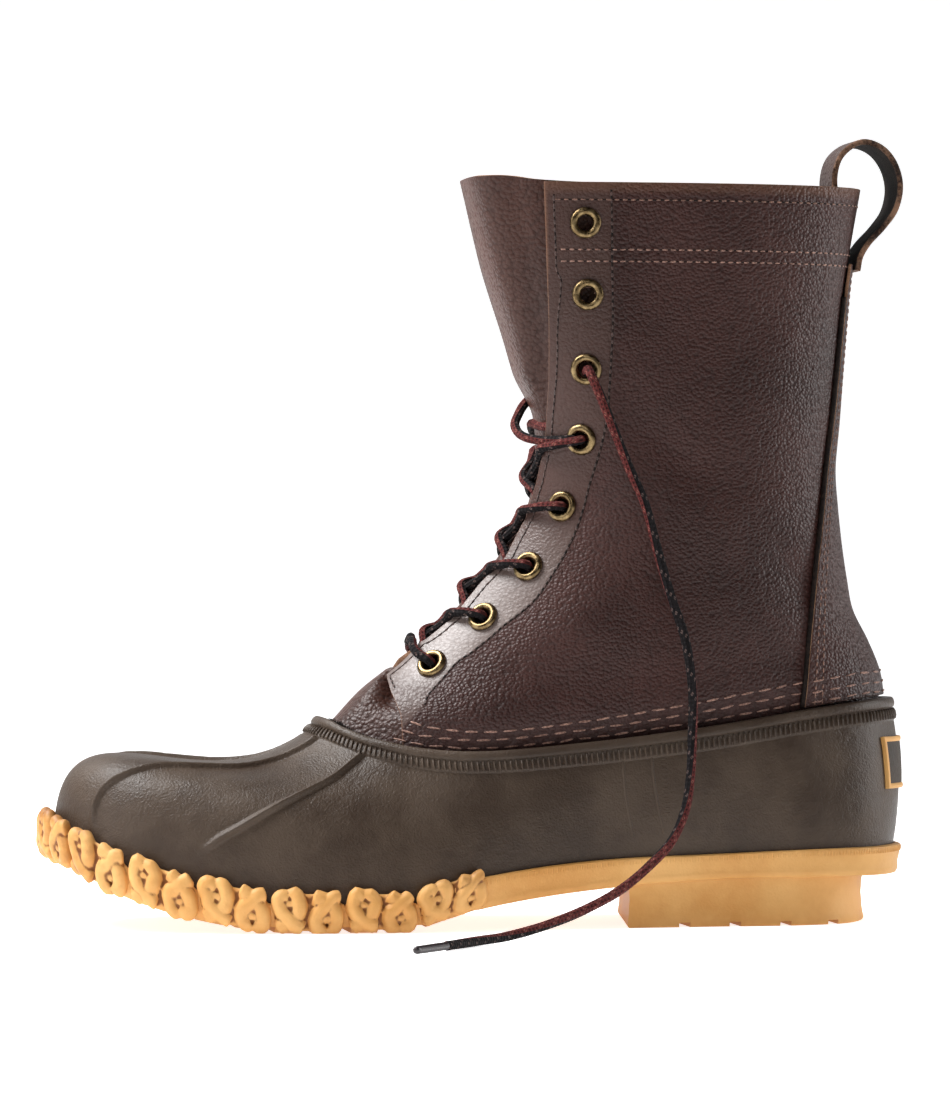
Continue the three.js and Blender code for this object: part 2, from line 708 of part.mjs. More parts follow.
function tongueDepth(t, w) {
  const point = shaftPoint(t, w);
  const up = point.z / collarHeight;
  const edge = quarterEdge(w, t > 0 ? -1 : 1);
  const sunk = mix(clearance, laceRoom * 0.75, ramp(up, 0.345, 0.365));
  const middle = mix(sunk, tongueWall * 0.75, ramp(up, 0.68, 0.75));
  const side = mix(underQuarter, laceRoom, ramp(up, 0.28, 0.33));
  return mix(middle, side, ramp(Math.abs(t), edge * 0.25, edge * 0.8));
}

function tongueGrid(extra) {
  const columns = [];
  for (let k = -tongueSpans; k <= tongueSpans; k += 1) {
    columns.push(tongueRows.map((w) => {
      const reach = quarterEdge(w, k < 0 ? 1 : -1) + 0.05;
      const t = (k / tongueSpans) * reach;
      const point = shaftAt(t, w, -tongueDepth(t, w) - extra);
      if (w === topRow) point.z += tongueRise * Math.cos((k / tongueSpans) * Math.PI * 0.5);
      return point;
    }));
  }
  return columns;
}

add('tongue', wallGeometry(tongueGrid(0), tongueGrid(tongueWall), false), leatherBrown);

// Backstay: a leather strip sewn over the back seam, wide at the rim and narrow under the cuff
const backstayRows = [1.15, 1.6, 2.1, 2.6, 3.2, 4, 5, 6, 7, 8, 9, 10, 11.1];
const backstaySpans = 4;

function backstayReach(w, side) {
  let low = 0.25;
  let high = 0.5;
  for (let k = 0; k < 26; k += 1) {
    const t = (low + high) / 2;
    const point = shaftPoint(side * -t, w);
    const edge = heelBack - tableAt(backstayEdge, point.z / collarHeight) * shellLength;
    if (point.x < edge) low = t;
    else high = t;
  }
  return high;
}

function backstayGrid(offset) {
  const columns = [];
  for (let k = -backstaySpans; k <= backstaySpans; k += 1) {
    const side = k <= 0 ? -1 : 1;
    const share = 1 - Math.abs(k) / backstaySpans;
    columns.push(backstayRows.map((w) => shaftAt(side * -mix(backstayReach(w, side), 0.5, share), w, offset)));
  }
  return columns;
}

const backstayGap = clearance * 2.4;
const backstay = wallGeometry(backstayGrid(backstayGap + backstayThickness), backstayGrid(backstayGap), false);
add('backstay', backstay, leatherBrown);

// Pull loop: a leather strip from inside the collar, up and over, to the top of the backstay
// behind: distance behind the back of the collar, share of loopReach
// up: distance above the collar, share of loopRise
const loopReach = 13;
const loopRise = 16.8;
const loopPath = [
  { behind: -0.73, up: -1.31 },
  { behind: -0.73, up: -0.48 },
  { behind: -0.82, up: 0.24 },
  { behind: -0.68, up: 0.65 },
  { behind: -0.38, up: 0.89 },
  { behind: 0.00, up: 1.00 },
  { behind: 0.48, up: 0.88 },
  { behind: 0.83, up: 0.57 },
  { behind: 1.00, up: 0.11 },
  { behind: 0.88, up: -0.39 },
  { behind: 0.54, up: -0.77 },
  { behind: 0.17, up: -1.10 },
  { behind: 0.015, up: -1.40 },
];
const collarBack = shaftPoint(0.5, topRow).x;
const loopCurve = new THREE.SplineCurve(
  loopPath.map((row) => new THREE.Vector2(collarBack + row.behind * loopReach, collarHeight + row.up * loopRise)),
);
const loopSteps = 26;
const loopSide = (offset) => Array.from({ length: loopSteps + 1 }, (_, i) => {
  const at = loopCurve.getPoint(i / loopSteps);
  const along = loopCurve.getTangent(i / loopSteps);
  return [at.x - along.y * offset, at.y + along.x * offset];
});
const loopOutline = [...loopSide(loopThickness / 2), ...loopSide(-loopThickness / 2).reverse()];
add('pull_loop', sidePrism(loopOutline, -loopWidth / 2, loopWidth / 2), leatherBrown);

// Heel patch: a plain framed plate moulded on the back of the shell
const patchMiddle = 55.5;
const patchColumns = 8;
const patchShare = [-0.5, 0, 0.5];

function shellHeight(t, z) {
  let low = 0;
  let high = 1;
  for (let k = 0; k < 24; k += 1) {
    const v = (low + high) / 2;
    if (shellPoint(t, v).z < z) low = v;
    else high = v;
  }
  return high;
}

function patchReach(side) {
  let t = 0.5;
  let run = 0;
  const last = shellPoint(0.5, shellHeight(0.5, patchMiddle));
  while (run < patchWidth / 2) {
    t -= roundStep;
    const here = shellPoint(side * -t, shellHeight(side * -t, patchMiddle));
    run += here.distanceTo(last);
    last.copy(here);
  }
  return t;
}

function patchGrid(offset) {
  const columns = [];
  for (let k = -patchColumns; k <= patchColumns; k += 1) {
    const side = k <= 0 ? -1 : 1;
    const t = side * -mix(patchReach(side), 0.5, 1 - Math.abs(k) / patchColumns);
    columns.push(patchShare.map((share) => (
      shellAt(t, shellHeight(t, patchMiddle + share * patchHeight), offset))));
  }
  return columns;
}

const patch = wallGeometry(patchGrid(clearance * 1.5 + patchThickness), patchGrid(clearance * 1.5), false);
add('heel_patch', patch, rubberTan);

// Lace: one crossing between each pair of eyelets, from over one quarter to under the other
const laceRadius = laceDiameter / 2;
const laceOver = laceRadius + clearance * 2;
const laceUnder = -(leatherWall + laceRadius + clearance * 1.5);
const laceMiddle = -clearance;
const crossingSteps = 8;
const crossings = 5;

// Way of one strand, from over the quarter it leaves to under the quarter it enters.
// side: 1 the quarter it leaves, -1 the one it enters; up: share of the way up to the next eyelet
// edge: share of the way from the middle to the quarter's edge
// inward: share of the way from there to where the eyelet's ring begins
// lift: height over the outer face of the shaft
const strandWay = [
  { side: 1, up: 0.06, edge: 1, inward: 0.9, lift: laceOver },
  { side: 1, up: 0.20, edge: 1, inward: 0, lift: laceOver },
  { side: 1, up: 0.38, edge: 0.5, inward: 0, lift: laceMiddle + laceRadius * 0.6 },
  { side: 1, up: 0.50, edge: 0, inward: 0, lift: laceMiddle },
  { side: -1, up: 0.64, edge: 0.55, inward: 0, lift: laceMiddle - laceRadius },
  { side: -1, up: 0.82, edge: 1, inward: 0.02, lift: laceUnder },
  { side: -1, up: 0.94, edge: 1, inward: 0.9, lift: laceUnder },
];
const leavesAt = 0.2;
const entersAt = 0.8;

// Share of the way from a quarter's edge to an eyelet's middle that its ring leaves free
function ringShare(eyelet, side) {
  const edge = shaftPoint(-side * quarterEdge(eyelet.w, side), eyelet.w);
  const way = edge.distanceTo(shaftPoint(eyelet.t, eyelet.w));
  return Math.max(0, 1 - (eyeletOuter / 2 + clearance) / way);
}

function laceStrand(k, side) {
  const from = eyelets[side < 0 ? 'left' : 'right'][k];
  const to = eyelets[side < 0 ? 'right' : 'left'][k + 1];
  const up = (share) => mix(from.w, to.w, share);
  const points = strandWay.map((row) => {
    const eyelet = row.side > 0 ? from : to;
    const edge = quarterEdge(up(row.side > 0 ? leavesAt : entersAt), side * row.side);
    const t = mix(edge, Math.abs(eyelet.t), row.inward * ringShare(eyelet, side * row.side)) * row.edge;
    return shaftAt(-side * row.side * t, up(row.up), row.lift);
  });
  return solidOf(tube(points, laceRadius, laceSides, crossingSteps));
}

for (let k = 0; k < crossings; k += 1) {
  add(`lace_crossing_${k + 1}`, geometryOf(laceStrand(k, -1).add(laceStrand(k, 1))), laceCloth);
}

const barHalf = (side) => {
  const place = eyelets[side < 0 ? 'left' : 'right'][0];
  const edge = quarterEdge(place.w, side);
  return [
    shaftAt(mix(edge, Math.abs(place.t), 0.4) * -side, place.w, laceUnder),
    shaftAt(edge * -side, place.w + 0.15, laceUnder),
  ];
};
const barMiddle = shaftAt(0, eyelets.left[0].w + 0.35, laceMiddle - laceRadius);
const barPoints = [...barHalf(-1), barMiddle, ...barHalf(1).reverse()];
add('lace_bar', tube(barPoints, laceRadius, laceSides, crossingSteps), laceCloth);

// Lace end: hangs from the sixth near eyelet, down past the sole and out on the floor
const laceRoute = [
  [-60.4, -37.6, 192.0], [-57.0, -41.2, 183.4], [-52.9, -41.8, 173.1], [-46.6, -41.8, 157.7],
  [-41.3, -41.8, 145.6], [-36.1, -41.8, 126.7], [-32.0, -42.4, 112.9], [-27.8, -44.4, 99.2],
  [-25.9, -47.6, 82.0], [-26.7, -51.0, 65.0], [-28.0, -54.0, 51.4], [-30.3, -57.0, 41.3],
  [-35.6, -61.0, 31.2], [-44.4, -67.0, 23.1], [-56.2, -75.0, 15.2], [-70.0, -85.0, 9.4],
  [-86.1, -97.0, 4.8], [-100.1, -107.0, 2.2], [-111.2, -120.0, 1.8], [-124.6, -141.0, 1.8],
  [-139.1, -162.0, 1.8],
];
const laceSteps = 46;
const laceEnd = tube(laceRoute.map((p) => new THREE.Vector3(...p)), laceRadius, cordSides, laceSteps);
add('lace_end', laceEnd, laceCloth);

export default boot;
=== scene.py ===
import math

import bmesh
import bpy
import numpy as np
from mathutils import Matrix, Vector
from mathutils.bvhtree import BVHTree


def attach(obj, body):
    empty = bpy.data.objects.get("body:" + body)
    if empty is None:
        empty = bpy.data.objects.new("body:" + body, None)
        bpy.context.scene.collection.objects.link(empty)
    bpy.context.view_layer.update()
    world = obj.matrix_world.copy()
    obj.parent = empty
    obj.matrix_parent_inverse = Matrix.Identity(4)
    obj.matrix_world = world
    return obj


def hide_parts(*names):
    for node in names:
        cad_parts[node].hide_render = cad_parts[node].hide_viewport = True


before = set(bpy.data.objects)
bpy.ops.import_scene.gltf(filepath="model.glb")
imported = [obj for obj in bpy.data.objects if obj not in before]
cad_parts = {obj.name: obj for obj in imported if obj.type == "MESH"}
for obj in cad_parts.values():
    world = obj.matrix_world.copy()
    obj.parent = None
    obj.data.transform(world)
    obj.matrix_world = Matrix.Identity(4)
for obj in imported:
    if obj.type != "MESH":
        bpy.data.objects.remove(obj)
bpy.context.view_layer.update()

# Camera and studio
# The photo was taken from a little towards the toe, level with the middle of the boot.
# The boot stands on a pale sweep that curves up behind it, lit by one strong and three weak soft boxes.
camera_data = bpy.data.cameras.new("photo_camera")
camera_data.sensor_fit = "VERTICAL"
camera_data.sensor_height = 36
camera_data.lens = 187.9
camera_data.clip_end = 20
camera = bpy.data.objects.new("photo_camera", camera_data)
camera.location = (-0.4069, -1.9754, 0.131)
camera.rotation_euler = (math.radians(90), 0, math.radians(-9))
bpy.context.collection.objects.link(camera)
bpy.context.scene.camera = camera


def soft_box(name, location, aim, size, power):
    data = bpy.data.lights.new(name, "AREA")
    data.shape = "RECTANGLE"
    data.size, data.size_y = size
    data.energy = power
    light = bpy.data.objects.new(name, data)
    light.location = location
    light.rotation_euler = (Vector(aim) - Vector(location)).to_track_quat("-Z", "Y").to_euler()
    bpy.context.collection.objects.link(light)


soft_box("key_light", (-0.95, 0.2, 1.35), (-0.1, 0, 0.12), (0.9, 0.8), 46)
soft_box("left_light", (-1.75, -0.35, 0.55), (-0.1, 0, 0.14), (0.6, 1.0), 6)
soft_box("right_light", (1.5, 0.1, 0.5), (-0.05, 0, 0.14), (0.5, 1.0), 14)
soft_box("front_light", (-0.8, -1.9, 1.5), (-0.1, 0, 0.1), (0.9, 0.6), 6)
bpy.context.scene.view_settings.view_transform = "Standard"
world = bpy.data.worlds.new("studio")
bpy.context.scene.world = world
world.use_nodes = True
world.node_tree.nodes["Background"].inputs["Color"].default_value = (1, 1, 1, 1)
world.node_tree.nodes["Background"].inputs["Strength"].default_value = 0.06


def put(tree, kind, inputs=None, **settings):
    """Adds a shader node. A socket given as an input is linked, and any other value is set."""
    node = tree.nodes.new(kind)
    for key, value in settings.items():
        setattr(node, key, value)
    for key, value in (inputs or {}).items():
        if isinstance(value, bpy.types.NodeSocket):
            tree.links.new(value, node.inputs[key])
        else:
            node.inputs[key].default_value = value
    return node


def finish_tree(name):
    material = bpy.data.materials.new(name)
    material.use_nodes = True
    material.node_tree.nodes.clear()
    return material, material.node_tree


def surface(tree, **inputs):
    """Ends a material: a Principled shader with these sockets, underscores for spaces."""
    sockets = {key.replace("_", " "): value for key, value in inputs.items()}
    shader = put(tree, "ShaderNodeBsdfPrincipled", sockets)
    put(tree, "ShaderNodeOutputMaterial", {"Surface": shader.outputs[0]})


sweep_paper, tree = finish_tree("sweep_paper")
seen = put(tree, "ShaderNodeLightPath").outputs["Is Camera Ray"]
glow = put(tree, "ShaderNodeMath", {0: seen, 1: 0.35, 2: 0.4}, operation="MULTIPLY_ADD").outputs[0]
surface(tree, Base_Color=(0.88, 0.88, 0.88, 1), Roughness=0.8, Emission_Color=(1, 1, 1, 1),
        Emission_Strength=glow)
bpy.ops.object.select_all(action="DESELECT")
bpy.ops.mesh.primitive_plane_add(size=8, location=(0, 0, 0))
floor = bpy.context.object
floor.name = "studio_sweep"
bpy.ops.object.mode_set(mode="EDIT")
bpy.ops.mesh.select_all(action="DESELECT")
bm = bmesh.from_edit_mesh(floor.data)
for edge in bm.edges:
    edge.select = all(v.co.y > 3 for v in edge.verts)
bmesh.update_edit_mesh(floor.data)
bpy.ops.mesh.extrude_region_move(TRANSFORM_OT_translate={"value": (0, 0, 6)})
bpy.ops.object.mode_set(mode="OBJECT")
bevel = floor.modifiers.new("curve", "BEVEL")
bevel.width = 2.2
bevel.segments = 24
bevel.limit_method = "ANGLE"
bpy.ops.object.modifier_apply(modifier="curve")
bpy.ops.object.shade_smooth()
floor.data.materials.append(sweep_paper)

# Lace: a round braid of 3.2 mm, half of it near black and half dark red, with light flecks
# It comes out of the sixth near eyelet, falls past the sole and lies on the floor, and its
# last 23 mm are a dark dipped tip. The far end is hidden and stops at the far sixth eyelet.
MM = 0.001
lace_radius = 1.6
tip_length = 23
braid_pitch = 3.4


def curve_point(points, share, closed=False):
    """Places on a centripetal Catmull-Rom curve.

    points is one set of guide points, or one set for each share."""
    points = np.asarray(points, float)
    share = np.atleast_1d(np.asarray(share, float))
    n = points.shape[-2]
    rows = np.arange(len(share))

    def pick(index):
        return points[rows, index] if points.ndim == 3 else points[index]

    if closed:
        place = (share % 1) * n
        k = np.floor(place).astype(int) % n
        w = place - np.floor(place)
        p0, p1, p2, p3 = (pick((k + d) % n) for d in (-1, 0, 1, 2))
    else:
        place = np.clip(share, 0, 1) * (n - 1)
        k = np.minimum(np.floor(place).astype(int), n - 2)
        w = place - k
        p1, p2 = pick(k), pick(k + 1)
        p0 = np.where((k > 0)[:, None], pick(np.maximum(k - 1, 0)), 2 * p1 - p2)
        p3 = np.where((k + 2 < n)[:, None], pick(np.minimum(k + 2, n - 1)), 2 * p2 - p1)
    d0, d1, d2 = (np.linalg.norm(b - a, axis=1)[:, None] ** 0.5 for a, b in ((p0, p1), (p1, p2), (p2, p3)))
    d1 = np.where(d1 < 1e-4, 1, d1)
    d0 = np.where(d0 < 1e-4, d1, d0)
    d2 = np.where(d2 < 1e-4, d1, d2)
    t1 = ((p1 - p0) / d0 - (p2 - p0) / (d0 + d1) + (p2 - p1) / d1) * d1
    t2 = ((p2 - p1) / d1 - (p3 - p1) / (d1 + d2) + (p3 - p2) / d2) * d1
    w = w[:, None]
    return p1 + t1 * w + (-3 * p1 + 3 * p2 - 2 * t1 - t2) * w ** 2 + (2 * p1 - 2 * p2 + t1 + t2) * w ** 3


def run_along(points):
    """The distance from the first point to each, along the path."""
    return np.concatenate([[0], np.cumsum(np.linalg.norm(np.diff(points, axis=0), axis=1))])


def spline(points, step=None, count=None):
    """Evenly spaced points along a curve through these points."""
    fine = curve_point(points, np.linspace(0, 1, 40 * len(points) + 1))
    run = run_along(fine)
    count = count or max(3, int(round(run[-1] / step)) + 1)
    shares = np.linspace(0, run[-1], count)
    return np.stack([np.interp(shares, run, fine[:, k]) for k in range(3)], axis=1)


def length_of(points):
    return float(np.linalg.norm(np.diff(points, axis=0), axis=1).sum())


def mesh_piece(name, points, faces, materials=(), face_material=None):
    """A finished piece from points in millimetres, with its object at the origin."""
    data = bpy.data.meshes.new(name)
    data.from_pydata([tuple(q) for q in np.asarray(points) * MM], [], faces)
    piece = bpy.data.objects.new(name, data)
    bpy.context.collection.objects.link(piece)
    for material in materials:
        data.materials.append(material)
    if face_material is not None:
        data.polygons.foreach_set("material_index", np.asarray(face_material, dtype=np.int32))
    data.polygons.foreach_set("use_smooth", [True] * len(data.polygons))
    data.update()
    return piece


def frames_along(path):
    """Tangents and two normals along a path, turned as little as possible."""
    tangents = np.gradient(path, axis=0)
    tangents /= np.linalg.norm(tangents, axis=1)[:, None]
    side = np.cross(tangents[0], (0, 0, 1))
    if np.linalg.norm(side) < 0.2:
        side = np.cross(tangents[0], (0, 1, 0))
    side /= np.linalg.norm(side)
    sides = [side]
    for t in tangents[1:]:
        side = side - t * float(np.dot(side, t))
        side /= np.linalg.norm(side)
        sides.append(side)
    sides = np.array(sides)
    return tangents, sides, np.cross(tangents, sides)


def rope(path, radius, sides=14, twist=0.0, braid=0.0, start=0.0):
    """Rings of points, faces and (turn, run) pairs of a round cord along a path in millimetres."""
    _, a, b = frames_along(path)
    run = run_along(path) + start
    turn = np.arange(sides) / sides
    radius = np.broadcast_to(np.asarray(radius, float), (len(path),))
    points, pairs = [], []
    for i, centre in enumerate(path):
        angle = 2 * math.pi * (turn + twist * run[i])
        waves = [np.cos(2 * math.pi * (4 * turn + way * run[i] / braid_pitch)) for way in (1, -1)]
        swell = 1 + braid * waves[0] * waves[1]
        ring = centre + (np.cos(angle) * swell * radius[i])[:, None] * a[i]
        ring = ring + (np.sin(angle) * swell * radius[i])[:, None] * b[i]
        points.append(ring)
        pairs.append(np.stack([turn, np.full(sides, run[i])], axis=1))
    rings = len(path)
    faces = []
    for i in range(rings - 1):
        for j in range(sides):
            k = (j + 1) % sides
            faces.append((i * sides + j, i * sides + k, (i + 1) * sides + k, (i + 1) * sides + j))
    faces.append(tuple(range(sides - 1, -1, -1)))
    faces.append(tuple((rings - 1) * sides + j for j in range(sides)))
    return np.vstack(points), faces, np.vstack(pairs)


def join_parts(parts):
    """Joins (points, faces, pairs) triples into one."""
    points, faces, pairs, base = [], [], [], 0
    for p, f, q in parts:
        points.append(p)
        pairs.append(q)
        faces.extend(tuple(k + base for k in face) for face in f)
        base += len(p)
    return np.vstack(points), faces, np.vstack(pairs)


def lay_pattern(piece, pairs):
    """Writes turn and run to a UV map, with the last face of each ring closing at one full turn."""
    layer = piece.data.uv_layers.new(name="pattern")
    values = np.zeros((len(piece.data.loops), 2))
    for face in piece.data.polygons:
        corners = [piece.data.loops[k].vertex_index for k in face.loop_indices]
        turns = [pairs[c][0] for c in corners]
        wrap = len(corners) == 4 and max(turns) - min(turns) > 0.5
        for k, c in zip(face.loop_indices, corners):
            turn, run = pairs[c]
            values[k] = (turn + 1 if wrap and turn < 0.5 else turn, run)
    layer.data.foreach_set("uv", values.ravel())


braid, tree = finish_tree("lace_braid")
uv = put(tree, "ShaderNodeUVMap", uv_map="pattern").outputs[0]
split = put(tree, "ShaderNodeSeparateXYZ", {0: uv})
turn, run = split.outputs[0], split.outputs[1]


def maths(tree, operation, a, b=None, c=None):
    inputs = {0: a}
    if b is not None:
        inputs[1] = b
    if c is not None:
        inputs[2] = c
    return put(tree, "ShaderNodeMath", inputs, operation=operation).outputs[0]


def blend_colour(tree, share, a, b):
    return put(tree, "ShaderNodeMix", {0: share, 6: a, 7: b}, data_type="RGBA").outputs[2]


def between(tree, value, low, high, to_low=0.0, to_high=1.0):
    inputs = {0: value, 1: low, 2: high, 3: to_low, 4: to_high}
    return put(tree, "ShaderNodeMapRange", inputs, interpolation_type="SMOOTHSTEP").outputs[0]


def own_place(tree):
    """Places on the piece, in metres."""
    return put(tree, "ShaderNodeTexCoord").outputs["Object"]


def noise(tree, place, scale, detail, roughness=0.5):
    inputs = {"Vector": place, "Scale": scale, "Detail": detail, "Roughness": roughness}
    return put(tree, "ShaderNodeTexNoise", inputs).outputs[0]


def bump(tree, height, strength, distance):
    inputs = {"Height": height, "Strength": strength, "Distance": distance}
    return put(tree, "ShaderNodeBump", inputs).outputs[0]


up_turn = maths(tree, "MULTIPLY_ADD", run, 1 / braid_pitch, maths(tree, "MULTIPLY", turn, 4))
down_turn = maths(tree, "MULTIPLY_ADD", run, -1 / braid_pitch, maths(tree, "MULTIPLY", turn, 4))
wave_up = maths(tree, "COSINE", maths(tree, "MULTIPLY", up_turn, 2 * math.pi))
wave_down = maths(tree, "COSINE", maths(tree, "MULTIPLY", down_turn, 2 * math.pi))
strand = maths(tree, "MULTIPLY", wave_up, wave_down)
red_half = between(tree, maths(tree, "SINE", maths(tree, "MULTIPLY", turn, 2 * math.pi)), -0.12, 0.12)
fleck_band = maths(tree, "COSINE", maths(tree, "MULTIPLY", maths(tree, "ADD", up_turn, 0.5), math.pi))
fleck = maths(tree, "MULTIPLY", between(tree, fleck_band, 0.6, 0.88), between(tree, wave_down, 0.1, 0.8))
yarn = noise(tree, own_place(tree), 2600, 3)
cloth = blend_colour(tree, red_half, (0.011, 0.009, 0.01, 1), (0.12, 0.026, 0.024, 1))
flecks = blend_colour(tree, red_half, (0.3, 0.2, 0.18, 1), (0.55, 0.2, 0.155, 1))
cloth = blend_colour(tree, maths(tree, "MULTIPLY", fleck, 0.75), cloth, flecks)
# Painted shade: where the braid sinks between its strands, the colour is darkened towards near black.
sunk = maths(tree, "MULTIPLY", between(tree, strand, -0.1, -0.75), 0.75)
cloth = blend_colour(tree, sunk, cloth, (0.008, 0.006, 0.006, 1))
darker = blend_colour(tree, 0.5, cloth, (0, 0, 0, 1))
cloth = blend_colour(tree, between(tree, yarn, 0.35, 0.7), cloth, darker)
relief = bump(tree, maths(tree, "ADD", strand, maths(tree, "MULTIPLY", yarn, 0.6)), 0.7, 0.0003)
surface(tree, Base_Color=cloth, Roughness=0.8, Normal=relief, Specular_IOR_Level=0.12)

dipped, tree = finish_tree("lace_tip_coating")
grain = noise(tree, own_place(tree), 900, 4)
relief = bump(tree, grain, 0.35, 0.0002)
tone = blend_colour(tree, between(tree, grain, 0.35, 0.65), (0.012, 0.01, 0.012, 1), (0.035, 0.022, 0.024, 1))
surface(tree, Base_Color=tone, Roughness=0.42, Normal=relief, Coat_Weight=0.2)

lace_route = [
    (-60.3, -32.6, 191.6), (-60.4, -37.2, 192.2), (-60.0, -39.9, 190.6), (-57.0, -41.2, 183.4),
    (-52.9, -41.8, 173.1), (-46.6, -41.8, 157.7), (-41.3, -41.8, 145.6), (-36.1, -41.8, 126.7),
    (-32.0, -42.4, 112.9), (-27.8, -44.4, 99.2), (-25.9, -47.6, 82.0), (-26.7, -51.0, 65.0),
    (-28.0, -54.0, 51.4), (-30.3, -57.0, 41.3), (-35.6, -61.0, 31.2), (-44.4, -67.0, 23.1),
    (-56.2, -75.0, 15.2), (-70.0, -85.0, 9.4), (-86.1, -97.0, 4.8), (-100.1, -107.0, 2.2),
    (-111.2, -120.0, 1.8), (-124.6, -141.0, 1.8), (-139.1, -162.0, 1.8),
]
lace_sides = 16
path = spline(lace_route, step=0.55)
lace_length = length_of(path)
run = run_along(path)
on_tip = run > lace_length - tip_length
radius = np.where(on_tip, lace_radius * 0.84, lace_radius)
radius[-3:] *= (0.95, 0.85, 0.6)
points, faces, pairs = rope(path, radius, sides=lace_sides, twist=0.0042, braid=0.045, start=150)
materials = [1 if on_tip[min(f[0] // lace_sides, len(path) - 1)] else 0 for f in faces]
lace_end = mesh_piece("lace_end_braid", points, faces, (braid, dipped), materials)
lay_pattern(lace_end, pairs)
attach(lace_end, "root")
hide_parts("lace_end")

# Rubber shell: the moulded bottom in dark brown rubber, one wall on the last's shape
# It has a rounded bead over a ribbed band at its rim, two raised lines on either side of the
# vamp that run from the rim to the toe, and thin mould lines on its sides.
shell_length = 295
heel_back = 54
rim_length = 202.5
ball_width = 102
rim_width = 80
sole_thickness = 4.8
toe_spring = 21.2
heel_lift = 16.2
rim_height = 66
rim_swing = 12.4
shell_wall = 2.5
bead_height = 3.9
bead_swell = 1.5
band_height = 4.2
band_swell = 0.6
foxing_height = 9
toe_tip = heel_back - shell_length
rim_front = heel_back - rim_length

# along, lateral, medial, spring, lift, sole, foxing, rim, swing, rise, flare, reach, drop
stations = [
    (0.000, -0.054, 0.054, 1.00, 0.00, 1.05, 1.25, 0.000, 0.48, 1.48, 0.020, 0.360, 0.89),
    (0.014, 0.118, 0.216, 0.93, 0.00, 1.05, 1.20, 0.004, 0.46, 1.42, 0.016, 0.345, 0.87),
    (0.051, 0.265, 0.333, 0.65, 0.00, 1.04, 1.15, 0.012, 0.40, 1.20, 0.014, 0.320, 0.78),
    (0.112, 0.377, 0.422, 0.34, 0.00, 1.02, 1.10, 0.023, 0.28, 0.98, 0.014, 0.280, 0.64),
    (0.180, 0.451, 0.466, 0.13, 0.00, 1.04, 1.00, 0.040, 0.14, 0.80, 0.018, 0.235, 0.52),
    (0.247, 0.495, 0.480, 0.01, 0.00, 1.03, 0.90, 0.065, -0.02, 0.62, 0.022, 0.185, 0.42),
    (0.315, 0.515, 0.480, 0.00, 0.00, 1.00, 0.85, 0.095, -0.14, 0.50, 0.026, 0.140, 0.36),
    (0.390, 0.510, 0.456, 0.00, 0.01, 1.02, 0.80, 0.135, -0.28, 0.44, 0.030, 0.105, 0.34),
    (0.485, 0.466, 0.397, 0.00, 0.44, 0.85, 0.76, 0.235, -0.40, 0.40, 0.034, 0.078, 0.34),
    (0.614, 0.407, 0.348, 0.00, 0.77, 0.83, 0.71, 0.430, -0.16, 0.36, 0.032, 0.060, 0.32),
    (0.766, 0.368, 0.333, 0.00, 0.91, 0.67, 0.65, 0.655, 0.28, 0.34, 0.028, 0.045, 0.32),
    (0.892, 0.348, 0.328, 0.00, 0.95, 0.70, 0.72, 0.830, 0.72, 0.34, 0.034, 0.050, 0.32),
    (0.962, 0.255, 0.245, 0.00, 0.98, 0.83, 0.71, 0.940, 0.94, 0.34, 0.040, 0.045, 0.32),
    (1.000, 0.000, 0.000, 0.00, 1.00, 0.95, 0.71, 1.000, 1.00, 0.34, 0.042, 0.046, 0.32),
]


def fullness(share, widest, brow, calf):
    s = np.clip(share, 0, 1)
    front = (1 - (1 - np.minimum(s / widest, 1)) ** brow) ** (1 / brow)
    back = (1 - np.clip((s - widest) / (1 - widest), 0, 1) ** calf) ** (1 / calf)
    return np.where(s < widest, front, back)


def closed_guide(point_of):
    rows = [point_of(row, -1) for row in stations] + [point_of(row, 1) for row in stations[-2:0:-1]]
    points = np.array(rows, float)
    return lambda t: curve_point(points, t, closed=True)


def feather_point(row, side):
    width = -row[1] if side < 0 else row[2]
    return (toe_tip + row[0] * shell_length, width * ball_width,
            sole_thickness + row[3] * toe_spring + row[4] * heel_lift)


def rim_point(row, side):
    half = rim_width / 2 * float(fullness(row[7], 0.3, 2.2, 2.3))
    return (rim_front + row[7] * rim_length, side * half, rim_height + row[8] * rim_swing)


feather = closed_guide(feather_point)
rim = closed_guide(rim_point)
wall_turn = closed_guide(lambda row, side: (row[9], row[10], row[5]))
wall_end = closed_guide(lambda row, side: (row[12], row[11], row[6]))


def outward(t):
    along = feather(t + 0.0001) - feather(t - 0.0001)
    flat = np.stack([along[:, 1], -along[:, 0], np.zeros(len(along))], axis=1)
    return flat / np.linalg.norm(flat, axis=1)[:, None]


def shell_point(t, v):
    """Outer face of the shell's wall: t runs round the boot, v from the feather to the rim."""
    t, v = np.broadcast_arrays(np.asarray(t, float), np.asarray(v, float))
    shape, t, v = t.shape, t.ravel(), v.ravel()[:, None]
    low, high, turn, end, out = feather(t), rim(t), wall_turn(t), wall_end(t), outward(t)
    tall = (high - low)[:, 2:]
    up = np.array((0, 0, 1.0))
    first = low + out * turn[:, 1:2] * ball_width + up * turn[:, :1] * tall
    second = high + out * end[:, 1:2] * ball_width - up * end[:, :1] * tall
    point = low * (1 - v) ** 3 + first * 3 * v * (1 - v) ** 2 + second * 3 * v ** 2 * (1 - v) + high * v ** 3
    return point.reshape(shape + (3,))


def below_rim(t, distance):
    speed = np.linalg.norm(shell_point(t, 1) - shell_point(t, 0.99), axis=-1) / 0.01
    return 1 - distance / speed


